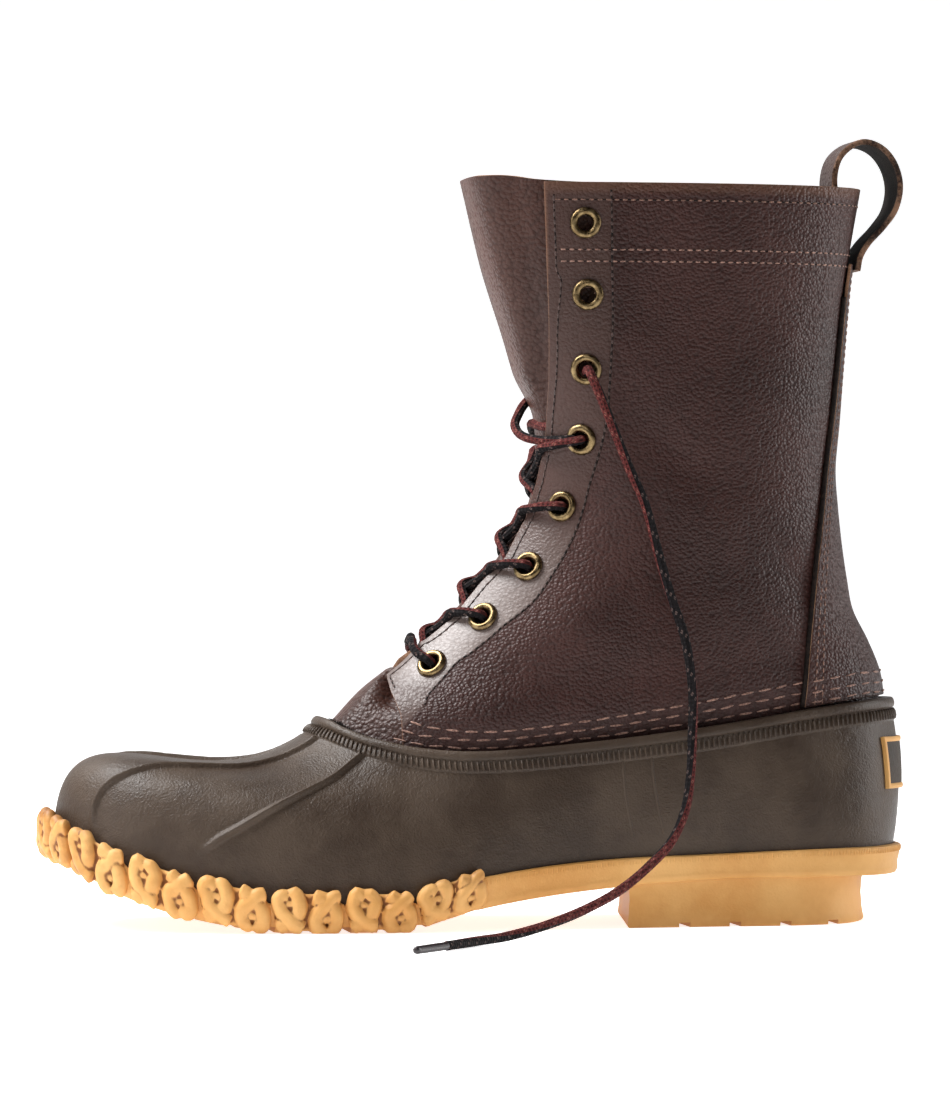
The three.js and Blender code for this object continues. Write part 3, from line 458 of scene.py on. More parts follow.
def normal_of(surface, t, v, high):
    along = surface(np.asarray(t) + 0.004, v) - surface(np.asarray(t) - 0.004, v)
    up = surface(t, np.minimum(high, np.asarray(v) + 0.01)) - surface(t, np.maximum(0, np.asarray(v) - 0.01))
    normal = np.cross(along, up)
    return normal / np.linalg.norm(normal, axis=-1, keepdims=True)


def shell_at(t, v, offset):
    return shell_point(t, v) + normal_of(shell_point, t, v, 1) * np.asarray(offset, float)[..., None]


wall_tables = {}


def shell_spot(x, z, side):
    """Where the shell's wall shows at x, z in the side view: its t and v."""
    if side not in wall_tables:
        turns = -side * np.linspace(0.02, 0.49, 160) % 1
        t, v = np.meshgrid(turns, np.linspace(0.02, 0.98, 90), indexing="ij")
        wall_tables[side] = (t, v, shell_point(t, v))
    t, v, table = wall_tables[side]
    k = np.argmin((table[:, :, 0] - x) ** 2 + (table[:, :, 2] - z) ** 2)
    t, v = float(t.ravel()[k]), float(v.ravel()[k])
    for _ in range(5):
        here = shell_point(t, v)[[0, 2]]
        by_t = (shell_point(t + 0.001, v)[[0, 2]] - here) / 0.001
        by_v = (shell_point(t, v + 0.001)[[0, 2]] - here) / 0.001
        step = np.linalg.lstsq(np.stack([by_t, by_v], axis=1), np.array((x, z)) - here, rcond=None)[0]
        t, v = t + float(np.clip(step[0], -0.01, 0.01)), v + float(np.clip(step[1], -0.03, 0.03))
    return t % 1, min(max(v, 0.01), 0.99)


def grid_normals(grid, closed):
    """Outward unit normals of a grid of points, columns first."""
    if closed:
        along = np.roll(grid, -1, axis=0) - np.roll(grid, 1, axis=0)
    else:
        along = np.gradient(grid, axis=0)
    normal = np.cross(along, np.gradient(grid, axis=1))
    return normal / np.maximum(np.linalg.norm(normal, axis=2), 1e-9)[:, :, None]


def grid_faces(columns, rows, close_columns, close_rows=False):
    i = np.arange(columns if close_columns else columns - 1)
    j = np.arange(rows if close_rows else rows - 1)
    i, j = (a.ravel() for a in np.meshgrid(i, j, indexing="ij"))
    k, l = (i + 1) % columns, (j + 1) % rows
    return np.stack([i * rows + j, k * rows + j, k * rows + l, i * rows + l], axis=1).tolist()


def near_line(points, line):
    """Distance of every point from a line of points."""
    best = np.full(len(points), 1e9)
    for a, b in zip(line[:-1], line[1:]):
        d = b - a
        share = np.clip((points - a) @ d / max(float(d @ d), 1e-9), 0, 1)
        best = np.minimum(best, np.linalg.norm(points - a - share[:, None] * d, axis=1))
    return best


columns = np.concatenate([np.linspace(-0.25, 0.25, 400, endpoint=False),
                          np.linspace(0.25, 0.75, 150, endpoint=False)]) % 1
wall_shares = np.linspace(0, 1, 132)
top = below_rim(columns, bead_height + band_height + 0.3)
rows = [shell_point(columns, share * top) for share in wall_shares]
for depth, swell in ((1, 0.7), (0.85, 1), (0.4, 1), (0, 0.6)):
    offset = np.full(len(columns), band_swell * swell)
    rows.append(shell_at(columns, below_rim(columns, bead_height + band_height * depth), offset))
for share in (0.98, 0.9, 0.76, 0.6, 0.42, 0.25, 0.1, 0.0):
    swell = math.sqrt(max(0.0, 1 - (share * 2 - 1) ** 2))
    offset = bead_swell * (0.25 + 0.75 * swell) - (0.5 if share == 0 else 0)
    rows.append(shell_at(columns, below_rim(columns, bead_height * share), np.full(len(columns), offset)))
outer = np.stack(rows, axis=1)
inner = np.stack([shell_at(columns, v, np.full(len(columns), -shell_wall))
                  for v in (1, 0.93, 0.8, 0.6, 0.4, 0.2, 0.08, 0)], axis=1)

normals = grid_normals(outer, True)
flat = outer.reshape(-1, 3)
centre_line = [(-235.5, -26, 36.0), (-233.6, -25, 42.5), (-229.5, -23.5, 48.5), (-222, -22.5, 52.0),
               (-212, -22, 53.4), (-196, -21.5, 53.4), (-181, -20, 54.8), (-167, -17.5, 59.8),
               (-156, -15.5, 64.0), (-149, -14.5, 66.5)]
outer_line = [(-137.2, -29, 59.0), (-144, -34, 56.3), (-150.2, -38, 53.6), (-157.5, -41.5, 50.2),
              (-164.7, -44.5, 46.7), (-172, -46.8, 43.0), (-178.9, -48.3, 39.5), (-185.5, -49, 35.6),
              (-191, -49, 32.3), (-196.0, -48, 28.4)]
lift = np.zeros(len(flat))
for side in (-1, 1):
    for line, height, width in ((centre_line, 1.7, 1.15), (outer_line, 1.9, 1.1)):
        guide = spline([(x, -side * y if side > 0 else y, z) for x, y, z in line], step=4)
        guide = np.array([flat[np.argmin(np.linalg.norm(flat - g, axis=1))] for g in guide])
        guide = spline(guide[::2], step=1.5)
        near = np.abs(flat[:, 0] - guide[:, 0].mean()) < 90
        gap = near_line(flat[near], guide)
        low_end = guide[-1 if line is outer_line else 0]
        end = np.minimum(1, np.linalg.norm(flat[near] - low_end, axis=1) / 9 + 0.1)
        lift[near] = np.maximum(lift[near], height * end * np.exp(-(gap / width) ** 2))
        lift[near] -= 0.45 * end * np.exp(-((gap - 3.2) / 1.7) ** 2)
fade = np.ones(outer.shape[1])
fade[len(wall_shares):] = 0
lift = lift.reshape(outer.shape[:2]) * fade[None, :]
outer = outer + normals * lift[:, :, None]
shell_grid = np.concatenate([outer, inner], axis=1)
faces = grid_faces(len(columns), shell_grid.shape[1], True, True)


def set_attribute(piece, name, values):
    layer = piece.data.attributes.new(name, "FLOAT", "POINT")
    layer.data.foreach_set("value", np.asarray(values, dtype=np.float32))


def effect_group(name, sockets_in, sockets_out):
    group = bpy.data.node_groups.new(name, "ShaderNodeTree")
    for socket, kind, value in sockets_in:
        made = group.interface.new_socket(socket, in_out="INPUT", socket_type=kind)
        made.default_value = value
    for socket, kind in sockets_out:
        group.interface.new_socket(socket, in_out="OUTPUT", socket_type=kind)
    return group, group.nodes.new("NodeGroupInput"), group.nodes.new("NodeGroupOutput")


# Moulded rubber group: a fine orange peel with soft clouds of colour, dust and small scuffs
moulding, into, out = effect_group(
    "moulded_rubber",
    [("Dark", "NodeSocketColor", (0.05, 0.04, 0.03, 1)), ("Light", "NodeSocketColor", (0.08, 0.07, 0.05, 1)),
     ("Peel", "NodeSocketFloat", 1300.0), ("Depth", "NodeSocketFloat", 0.2)],
    [("Color", "NodeSocketColor"), ("Roughness", "NodeSocketFloat"), ("Normal", "NodeSocketVector")],
)
place = own_place(moulding)
clouds = noise(moulding, place, 38, 5, 0.6)
peel = noise(moulding, place, into.outputs["Peel"], 3, 0.55)
pits = noise(moulding, place, 320, 4)
streaks = put(moulding, "ShaderNodeMapping", {"Vector": place, "Scale": (60, 60, 420)}).outputs[0]
scuffs = noise(moulding, streaks, 1, 6)
light = between(moulding, clouds, 0.3, 0.72)
tone = blend_colour(moulding, light, into.outputs["Dark"], into.outputs["Light"])
tone = blend_colour(moulding, between(moulding, pits, 0.5, 0.9, 0, 0.35), tone, into.outputs["Light"])
rough = maths(moulding, "ADD", between(moulding, clouds, 0.3, 0.7, -0.05, 0.06),
              between(moulding, scuffs, 0.5, 0.75, 0.0, 0.06))
height = maths(moulding, "ADD", peel, maths(moulding, "MULTIPLY", pits, 0.8))
relief = bump(moulding, height, into.outputs["Depth"], 0.0006)
for socket, value in (("Color", tone), ("Roughness", rough), ("Normal", relief)):
    moulding.links.new(value, out.inputs[socket])


def rubber_finish(name, dark, light, roughness, peel, depth, painted_shade=None):
    material, tree = finish_tree(name)
    group = put(tree, "ShaderNodeGroup", node_tree=moulding)
    for socket, value in (("Dark", dark), ("Light", light), ("Peel", peel), ("Depth", depth)):
        group.inputs[socket].default_value = value
    colour = group.outputs["Color"]
    rough = maths(tree, "ADD", group.outputs["Roughness"], roughness)
    # Painted shade: where the painted_shade attribute is set, broken up by noise, the colour is blended
    # towards the given brown.
    if painted_shade:
        shade_mark = put(tree, "ShaderNodeAttribute", attribute_name="painted_shade").outputs["Fac"]
        place = own_place(tree)
        patchy = noise(tree, place, 300, 4)
        share = between(tree, maths(tree, "MULTIPLY_ADD", patchy, 0.5, shade_mark), 0.36, 0.95)
        colour = blend_colour(tree, share, colour, painted_shade)
    surface(tree, Base_Color=colour, Roughness=rough, Normal=group.outputs["Normal"], Specular_IOR_Level=0.27)
    return material


brown_rubber = rubber_finish("brown_rubber", (0.043, 0.0275, 0.0185, 1), (0.076, 0.052, 0.036, 1),
                             0.4, 1300, 0.5)
shell = mesh_piece("rubber_shell_moulding", shell_grid.reshape(-1, 3), faces, (brown_rubber,))
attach(shell, "root")
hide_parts("rubber_shell")

# Ribs of the rim band and mould lines: part of the same moulding, short rounded ribs 1.9 mm apart
# under the bead all the way round, and two thin upright lines with a ladder of ticks on each side.
rib_pitch = 1.9


def unit_mesh(make):
    """Points and faces of a primitive that was made and shaped with operators, in millimetres."""
    bpy.ops.object.select_all(action="DESELECT")
    make()
    model = bpy.context.object
    points = np.array([v.co for v in model.data.vertices])
    faces = [tuple(p.vertices) for p in model.data.polygons]
    data = model.data
    bpy.data.objects.remove(model)
    bpy.data.meshes.remove(data)
    return points, faces


def rib_model():
    bpy.ops.mesh.primitive_cube_add(size=1)
    bpy.ops.object.mode_set(mode="EDIT")
    bpy.ops.mesh.bevel(offset=0.3, segments=1, affect="EDGES")
    bpy.ops.object.mode_set(mode="OBJECT")


rib_points, rib_faces = unit_mesh(rib_model)


def placed(model, spots):
    """Copies of a unit mesh: a spot is its middle, its three axes and its three sizes."""
    points, faces, base = [], [], 0
    unit, unit_faces = model
    for middle, axes, sizes in spots:
        points.append(middle + (unit * sizes) @ np.array(axes))
        faces.extend(tuple(k + base for k in face) for face in unit_faces)
        base += len(unit)
    return np.vstack(points), faces


def shell_frame(t, v, offset):
    """A place over the shell with its axes: along, up and out."""
    up = shell_point(t, min(1, v + 0.01)) - shell_point(t, max(0, v - 0.01))
    normal = normal_of(shell_point, t, v, 1)
    up /= np.linalg.norm(up)
    return shell_point(t, v) + normal * offset, (np.cross(up, normal), up, normal)


spots = []
turns = np.linspace(0, 1, 3001)
band_middle = below_rim(turns, bead_height + band_height * 0.52)
run = run_along(shell_point(turns, band_middle))
rib_count = int(run[-1] / rib_pitch)
for t in np.interp(np.arange(rib_count) / rib_count * run[-1], run, turns):
    middle, axes = shell_frame(t, float(below_rim(t, bead_height + band_height * 0.52)), band_swell * 0.9)
    spots.append((middle, axes, (0.85, band_height * 0.9, 1.5)))
for side in (-1, 1):
    for k in range(17):
        z = 39.5 + k * 1.7
        t, v = shell_spot(-33.2 - (z - 36) * 0.07, z, side)
        middle, axes = shell_frame(t, v, 0.0)
        spots.append((middle, axes, (2.4, 0.5, 0.35)))
points, faces = placed((rib_points, rib_faces), spots)
rim_ribs = mesh_piece("rim_band_ribs", points, faces, (brown_rubber,))
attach(rim_ribs, "root")

parts = []
for side in (-1, 1):
    for low, high in (((-45.5, 31.5), (-49.0, 63.0)), ((-34.5, 32.5), (-39.0, 65.0))):
        line = []
        for share in np.linspace(0, 1, 8):
            x = low[0] + (high[0] - low[0]) * share - 1.2 * math.sin(share * math.pi)
            z = low[1] + (high[1] - low[1]) * share
            t, v = shell_spot(x, z, side)
            line.append(shell_at(t, v, -0.35))
        parts.append(rope(spline(line, step=1.2), 0.62, sides=8))
points, faces, _ = join_parts(parts)
mould_lines = mesh_piece("side_mould_lines", points, faces, (brown_rubber,))
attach(mould_lines, "root")

# Outsole: the tan rubber sole, with a low wall round the shell, a heel block and cross grooves
# It is moulded on in one piece, and its wall has fine upright ticks along the top edge.
foxing_wall = 2.4
clearance = 0.3
outer_wall = clearance + foxing_wall
tread_bevel = 1.6
foxing_ease = clearance * 2.3
heel_front = -44.7
heel_block_back = 44.3
heel_inset = 1.2
sole_columns = 360


def sole_line(t, offset, height_of):
    line = feather(t) + outward(t) * offset
    line[:, 2] = height_of(t, line[:, 2])
    return line


def foxing_line(t, share, offset):
    """A line on the shell's wall, a share of the foxing's height above the feather."""
    rise = share * wall_end(t)[:, 2] * foxing_height
    steps = np.linspace(0, 0.6, 121)
    wall = shell_point(t[:, None], steps[None, :])
    climb = np.linalg.norm(wall - wall[:, :1], axis=2)
    v = np.array([np.interp(r, c, steps) for r, c in zip(rise, climb)])
    return shell_at(t, v, np.full(len(t), offset))


def underside(t, height):
    return np.maximum(0, height - wall_turn(t)[:, 2] * sole_thickness)


def ladder_solid(loops):
    """Rings of one length, each closed, with both ends closed by rungs across from side to side."""
    n = len(loops[0])
    points = np.vstack(loops)
    faces = []
    for k in range(len(loops) - 1):
        for i in range(n):
            j = (i + 1) % n
            faces.append((k * n + i, k * n + j, (k + 1) * n + j, (k + 1) * n + i))
    for base, flip in ((0, True), ((len(loops) - 1) * n, False)):
        for i in range(n // 2):
            ring = [base + i % n, base + i + 1, base + (n - i - 1) % n, base + (n - i) % n]
            ring = list(dict.fromkeys(ring))
            faces.append(tuple(ring[::-1] if flip else ring))
    return points, faces


def face_outward(piece):
    """Turns the faces of a closed piece outward."""
    bm = bmesh.new()
    bm.from_mesh(piece.data)
    bmesh.ops.recalc_face_normals(bm, faces=bm.faces)
    bm.to_mesh(piece.data)
    bm.free()


turns = np.arange(sole_columns) / sole_columns
toe_up = np.clip((feather(turns)[:, 2] - sole_thickness) / toe_spring, 0, 1) * (feather(turns)[:, 0] < -100)
fore = np.clip((-104 - feather(turns)[:, 0]) / 8, 0, 1)
toe_up = np.maximum(toe_up, 0.45 * fore)
offset_down = toe_up[:, None]
low_fore = 1 - 0.4 * fore
loops = [
    sole_line(turns, outer_wall - tread_bevel - 7 * offset_down, underside),
    sole_line(turns, outer_wall - tread_bevel * 0.45 - 3.5 * offset_down,
              lambda t, h: underside(t, h) + 0.3 + 1.4 * toe_up),
    sole_line(turns, outer_wall - 1.2 * offset_down,
              lambda t, h: underside(t, h) + tread_bevel + 2.6 * toe_up),
    sole_line(turns, outer_wall,
              lambda t, h: h * 0.45 + 0.55 * (underside(t, h) + tread_bevel) + toe_up),
    sole_line(turns, outer_wall, lambda t, h: h),
    foxing_line(turns, 0.3 * low_fore, outer_wall),
    foxing_line(turns, 0.6 * low_fore, outer_wall),
    foxing_line(turns, 0.88 * low_fore, outer_wall),
    foxing_line(turns, 0.97 * low_fore, outer_wall - 0.3),
    foxing_line(turns, low_fore, outer_wall - 1.0),
    foxing_line(turns, low_fore, foxing_ease),
    foxing_line(turns, 0.5, foxing_ease),
    sole_line(turns, foxing_ease, lambda t, h: h - foxing_ease * 1.2),
]
points, faces = ladder_solid(loops)
sole_body = mesh_piece("outsole_body", points, faces)
face_outward(sole_body)

sole_back = heel_back + outer_wall - heel_inset
fine_turns = np.arange(720) / 720
edge = sole_line(fine_turns, outer_wall - heel_inset, lambda t, h: h * 0)
edge = edge[np.argsort(((fine_turns + 0.5) % 1))]
edge = edge[edge[:, 0] > heel_front]
shrink = (heel_block_back - heel_front) / (sole_back - heel_front)
edge[:, 0] = heel_front + shrink * (edge[:, 0] - heel_front)
start = int(np.argmax(np.linalg.norm(np.diff(np.vstack([edge, edge[:1]]), axis=0), axis=1))) + 1
edge = np.roll(edge, -start, axis=0)
front = [edge[-1] + (edge[0] - edge[-1]) * s for s in np.linspace(0, 1, 26)[1:-1]]
block_line = np.vstack([edge, np.array(front)])
near_front = np.clip((-block_line[:, 0] - 20) / 24.7, 0, 1)
block_line[:, 0] += near_front * (0.142 * block_line[:, 1] + 2.5)
middle = block_line.mean(axis=0)
heel_top = sole_thickness + heel_lift * 0.8
rows = []
for z, inset in ((0, 0.9), (0.25, 0.35), (0.9, 0), (heel_top * 0.25, 0.6), (heel_top * 0.55, 1.0),
                 (heel_top * 0.8, 0.7), (heel_top, 0.2)):
    away = block_line[:, :2] - middle[:2]
    away /= np.linalg.norm(away, axis=1)[:, None]
    row = block_line.copy()
    row[:, :2] -= away * inset
    row[:, 2] = z
    rows.append(row)
n = len(block_line)
faces = grid_faces(len(rows), n, False, True)
faces.append(tuple(range(n)))
faces.append(tuple(range(len(rows) * n - 1, (len(rows) - 1) * n - 1, -1)))
heel_block = mesh_piece("heel_block", np.vstack(rows), faces)
face_outward(heel_block)


def select_only(piece):
    bpy.ops.object.select_all(action="DESELECT")
    piece.select_set(True)
    bpy.context.view_layer.objects.active = piece


def cut_boxes(piece, boxes):
    """Takes boxes, given by two corners each, out of a piece."""
    cutters = []
    for low, high in boxes:
        bpy.ops.object.select_all(action="DESELECT")
        middle = [(a + b) / 2 * MM for a, b in zip(low, high)]
        scale = [(b - a) * MM for a, b in zip(low, high)]
        bpy.ops.mesh.primitive_cube_add(size=1, location=middle, scale=scale)
        cutters.append(bpy.context.object)
    for cutter in cutters:
        cutter.select_set(True)
    bpy.context.view_layer.objects.active = cutters[0]
    bpy.ops.object.join()
    bpy.ops.object.transform_apply(location=True, rotation=True, scale=True)
    cutter = bpy.context.object
    cut = piece.modifiers.new("grooves", "BOOLEAN")
    cut.operation = "DIFFERENCE"
    cut.solver = "EXACT"
    cut.object = cutter
    select_only(piece)
    bpy.ops.object.modifier_apply(modifier="grooves")
    bpy.data.objects.remove(cutter)


forefoot_grooves = [(-211.8, 9.0), (-198.8, 5.0), (-185.8, 2.9), (-172.8, 2.4), (-159.8, 2.2),
                    (-146.8, 2.2), (-133.8, 2.2), (-120.8, 2.6)]
cut_boxes(sole_body, [((x - 2, -90, -2), (x + 2, 90, top)) for x, top in forefoot_grooves])
cut_boxes(heel_block, [((x - 2, -90, -2), (x + 2, 90, 1.6)) for x in (-27, -9, 9, 27)])
tan_dark, tan_light = (0.64, 0.31, 0.085, 1), (0.78, 0.44, 0.155, 1)
# The last colour is the brown of the painted shade in the chain's creases and at its toe.
tan_rubber = rubber_finish("tan_rubber", tan_dark, tan_light, 0.5, 1100, 0.22, (0.21, 0.075, 0.022, 1))

spots = []
for side in (-1, 1):
    run = np.linspace(0.28, 0.492, 125 if side < 0 else 100)
    for t in run:
        here = foxing_line(np.array([-side * t]), 0.8, outer_wall)[0]
        out = outward(np.array([-side * t]))[0]
        up = np.array((0, 0, 1.0))
        spots.append((here, (np.cross(up, out), up, out), (0.55, 1.9, 0.5)))
ticks_points, ticks_faces = placed((rib_points, rib_faces), spots)
ticks = mesh_piece("foxing_ticks", ticks_points, ticks_faces)
bpy.ops.object.select_all(action="DESELECT")
for part in (sole_body, heel_block, ticks):
    part.data.materials.clear()
    part.data.materials.append(tan_rubber)
    part.select_set(True)
bpy.context.view_layer.objects.active = sole_body
bpy.ops.object.join()
outsole = bpy.context.object
outsole.name = "outsole_moulding"
bpy.ops.object.shade_smooth_by_angle(angle=math.radians(38))
set_attribute(outsole, "painted_shade", np.zeros(len(outsole.data.vertices)))
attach(outsole, "root")
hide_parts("outsole")

# Chain moulding: a thick relief of twisted strands round the forefoot, part of the tan rubber
# Links stand head up and head down in turn, 13 mm apart, fused where they touch, and look
# pinched by hand, with painted brown shade in the creases and at the toe.
link_pitch = 13
link_end_x = toe_tip + 0.485 * shell_length
upright_link = [
    [(-0.7, 4.7, 0.7), (-2.3, 5.6, 1.1), (-3.7, 3.8, 1.3), (-3.6, 1.2, 1.4), (-2.3, -1.0, 1.6),
     (-0.2, -2.7, 1.8), (2.4, -4.3, 1.5), (4.4, -5.4, 1.0)],
    [(0.7, 4.7, 0.7), (2.3, 5.5, 1.1), (3.7, 3.7, 1.3), (3.6, 1.1, 1.4), (2.3, -1.1, 1.3),
     (0.2, -2.7, 1.1), (-2.4, -4.4, 1.3), (-4.4, -5.5, 1.0)],
    [(-1.8, 2.0, 1.6), (0, 2.2, 1.9), (1.8, 1.9, 1.6)],
]


def link_pair(seed):
    """One head-up link and one head-down link, fused into one relief by a voxel remesh."""
    draw = np.random.default_rng(seed)
    parts = []
    for which in (0, 1):
        flip = 1 if which == 0 else -1
        for line in upright_link:
            wobble = draw.normal(0, 0.26, (len(line), 3)) * (1, 1, 0.6)
            line = np.array(line, float) + wobble
            line[:, 1] *= flip
            line[:, 0] += which * link_pitch - link_pitch / 2
            path = spline(line, step=0.6)
            thick = 1.3 if len(upright_link[2]) == len(line) else 2.6
            radius = thick * (1 + 0.1 * np.sin(np.linspace(0, 3.1, len(path)) * draw.uniform(0.6, 1.6)))
            radius[0] = radius[-1] = thick * 0.55
            parts.append(rope(path, radius, sides=12))
    points, faces, _ = join_parts(parts)
    backing_spot = (np.array((0, -0.2, 0.2)), np.eye(3), (link_pitch * 2, 12.2, 2.2))
    backing = placed((rib_points, rib_faces), [backing_spot])
    faces = faces + [tuple(k + len(points) for k in face) for face in backing[1]]
    points = np.vstack([points, backing[0]])
    model = mesh_piece("link_model", points, faces)
    select_only(model)
    melt = model.modifiers.new("melt", "REMESH")
    melt.mode = "VOXEL"
    melt.voxel_size = 0.47 * MM
    soft = model.modifiers.new("soft", "SMOOTH")
    soft.factor = 0.5
    soft.iterations = 2
    bpy.ops.object.modifier_apply(modifier="melt")
    bpy.ops.object.modifier_apply(modifier="soft")
    bm = bmesh.new()
    bm.from_mesh(model.data)
    points = np.array([v.co for v in bm.verts]) / MM
    normals = np.array([v.normal for v in bm.verts])
    # How far each point lies sunk below its neighbours, smoothed. It sets the painted shade in the creases.
    painted_shade = np.zeros(len(points))
    for v in bm.verts:
        around = [e.other_vert(v) for e in v.link_edges]
        mean = sum((a.co for a in around), Vector()) / len(around)
        painted_shade[v.index] = (mean - v.co).dot(v.normal) / MM
    for _ in range(3):
        next_painted_shade = painted_shade.copy()
        for v in bm.verts:
            around = [e.other_vert(v).index for e in v.link_edges]
            next_painted_shade[v.index] = 0.5 * painted_shade[v.index] + 0.5 * painted_shade[around].mean()
        painted_shade = next_painted_shade
    faces = [tuple(v.index for v in f.verts) for f in bm.faces]
    bm.free()
    data = model.data
    bpy.data.objects.remove(model)
    bpy.data.meshes.remove(data)
    return points, faces, np.clip(painted_shade / 0.055, 0, 1)


models = [link_pair(seed) for seed in (3, 8, 13)]
half_turns = np.linspace(0, 0.5, 2001)
points, faces, painted_shades, base = [], [], [], 0
for side in (-1, 1):
    lane = (-side * half_turns) % 1
    edge = feather(lane) + outward(lane) * (outer_wall - 0.3)
    run = run_along(edge[:, :2])
    stop = run[np.argmax(edge[:, 0] > link_end_x)]
    pairs_here = int(round(stop / (2 * link_pitch)))
    stretch = stop / (pairs_here * 2 * link_pitch)
    for k in range(pairs_here):
        unit, unit_faces, painted_shade = models[(k + (side > 0)) % 3]
        along = (unit[:, 0] + link_pitch + k * 2 * link_pitch) * stretch
        place = np.interp(along, run, half_turns)
        t = (-side * place) % 1
        out = outward(t)
        seat = feather(t) + out * (outer_wall - 0.5)
        centre = seat[:, 2] + 2.4 + 0.22 * (seat[:, 2] - sole_thickness)
        centre = np.maximum(7.7, centre) - 0.2 - 1.1 * np.clip((seat[:, 2] - 8) / 14, 0, 1)
        tall = np.interp(seat[:, 0], (toe_tip, toe_tip + 45, link_end_x - 30, link_end_x),
                         (1.2, 1.17, 1.06, 0.96))
        lean = 0.16 * unit[:, 1] * (unit[:, 1] < 0)
        spot = seat + out * (unit[:, 2] * 0.92 + lean * 0.5)[:, None]
        spot[:, 2] = np.maximum(centre + unit[:, 1] * 0.93 * tall, 0.25)
        points.append(spot)
        flipped = unit_faces if side > 0 else [face[::-1] for face in unit_faces]
        faces.extend(tuple(v + base for v in face) for face in flipped)
        painted_shades.append(painted_shade)
        base += len(spot)
chain = mesh_piece("outsole_chain", np.vstack(points), faces, (tan_rubber,))
face_outward(chain)
painted_shades = np.concatenate(painted_shades)
spots = np.vstack(points)
# The chain is made darker above a height that falls from the toe to the ball, and its toe is darkened as
# painted shade.
darker_above = np.interp(spots[:, 0], (-241, -197, -160, -100), (36, 18, 12, 13))
top_line = 0.3 * np.clip((spots[:, 2] - darker_above) / 5, 0, 1)
toe_shade = 0.26 * np.clip((-195 - spots[:, 0]) / 40, 0, 1)
set_attribute(chain, "painted_shade", np.clip(painted_shades + top_line + toe_shade, 0, 1))
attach(chain, "root")

# Heel label: a tan plate with a raised frame round a dark field, moulded on the back of the shell
# The lettering of the real one is left out.
patch_middle = 55.5
patch_size = (46, 18)
turns = np.linspace(0.4, 0.6, 241)
half_levels = (0.2, 0.37, 0.4, 0.42, 0.46, 0.49, 0.5)
levels = patch_middle + patch_size[1] * np.array([-a for a in half_levels[::-1]] + [0] + list(half_levels))
wall = shell_point(turns[:, None], np.linspace(0, 1, 201)[None, :])
middle_row = np.array([[np.interp(patch_middle, col[:, 2], col[:, a]) for a in range(3)] for col in wall])
run = run_along(middle_row)
run -= np.interp(0.5, turns, run)
reach = patch_size[0] / 2
edges = np.array((-reach, -reach + 0.2, -reach + 0.7, -reach + 1.4, -reach + 1.8, -reach + 2.3))
widths = np.concatenate([edges, np.linspace(-reach + 4, reach - 4, 40), -edges[::-1]])
plate_t = np.interp(widths, run, turns)
plate = []
for t in plate_t:
    column = shell_point(t, np.linspace(0, 1, 201))
    v = np.interp(levels, column[:, 2], np.linspace(0, 1, 201))
    plate.append(v)
plate = np.array(plate)
from_edge = np.minimum((reach - np.abs(widths))[:, None],
                       (patch_size[1] / 2 - np.abs(levels - patch_middle))[None, :])
raised = np.interp(from_edge, (0, 0.25, 1.3, 1.75, 5), (1.15, 1.55, 1.55, 1.05, 1.05))
top_face = shell_at(plate_t[:, None] + 0 * plate, plate, raised)
low_face = shell_at(plate_t[:, None] + 0 * plate, plate, 0 * plate - 0.2)
columns_count, rows_count = plate.shape


def wall_solid(outer, inner):
    """One closed solid between two grids of points of one shape, open-edged sheets."""
    columns, rows = outer.shape[:2]
    n = columns * rows
    points = np.vstack([outer.reshape(-1, 3), inner.reshape(-1, 3)])
    top = grid_faces(columns, rows, False)
    faces = list(map(tuple, top)) + [tuple(k + n for k in face[::-1]) for face in top]
    ring = [i * rows for i in range(columns)] + [(columns - 1) * rows + j for j in range(1, rows)]
    ring += [i * rows + rows - 1 for i in range(columns - 2, -1, -1)] + list(range(rows - 2, 0, -1))
    for a, b in zip(ring, ring[1:] + ring[:1]):
        faces.append((b, a, a + n, b + n))
    return points, faces


points, faces = wall_solid(top_face, low_face)
in_field = []
for i in range(columns_count - 1):
    for j in range(rows_count - 1):
        in_field.append(1 if from_edge[i:i + 2, j:j + 2].min() >= 1.7 else 0)
label_field = rubber_finish("label_field", (0.03, 0.022, 0.016, 1), (0.06, 0.042, 0.03, 1), 0.6, 900, 0.4)
in_field += [0] * (len(faces) - len(in_field))
label = mesh_piece("heel_label_plate", points, faces, (tan_rubber, label_field), in_field)
set_attribute(label, "painted_shade", np.zeros(len(points)))
select_only(label)
bpy.ops.object.shade_smooth_by_angle(angle=math.radians(40))
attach(label, "root")
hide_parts("heel_patch")

# Insole: a thin cloth-covered pad, loose in the shell and seen only from above
inside = -3.1
turns = np.arange(240) / 240
loops = [sole_line(turns, inside - drawn_in, lambda t, h: h + up)
         for drawn_in, up in ((0.4, 0.35), (0, 0.9), (0, 2.5), (0.5, 3.1), (1.6, 3.3))]
points, faces = ladder_solid(loops)
weave, tree = finish_tree("insole_cloth")
place = own_place(tree)
split = put(tree, "ShaderNodeSeparateXYZ", {0: place})
warp = maths(tree, "SINE", maths(tree, "MULTIPLY", split.outputs[0], 2 * math.pi / 0.0011))
weft = maths(tree, "SINE", maths(tree, "MULTIPLY", split.outputs[1], 2 * math.pi / 0.0011))
threads = maths(tree, "MULTIPLY", warp, weft)
dirt = noise(tree, place, 45, 5)
tone = blend_colour(tree, between(tree, threads, -0.5, 0.6), (0.2, 0.13, 0.08, 1), (0.33, 0.23, 0.15, 1))
tone = blend_colour(tree, between(tree, dirt, 0.45, 0.75, 0, 0.5), tone, (0.1, 0.07, 0.05, 1))
relief = bump(tree, threads, 0.5, 0.0004)
surface(tree, Base_Color=tone, Roughness=0.9, Normal=relief)
insole = mesh_piece("insole_pad", points, faces, (weave,))
face_outward(insole)
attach(insole, "root")
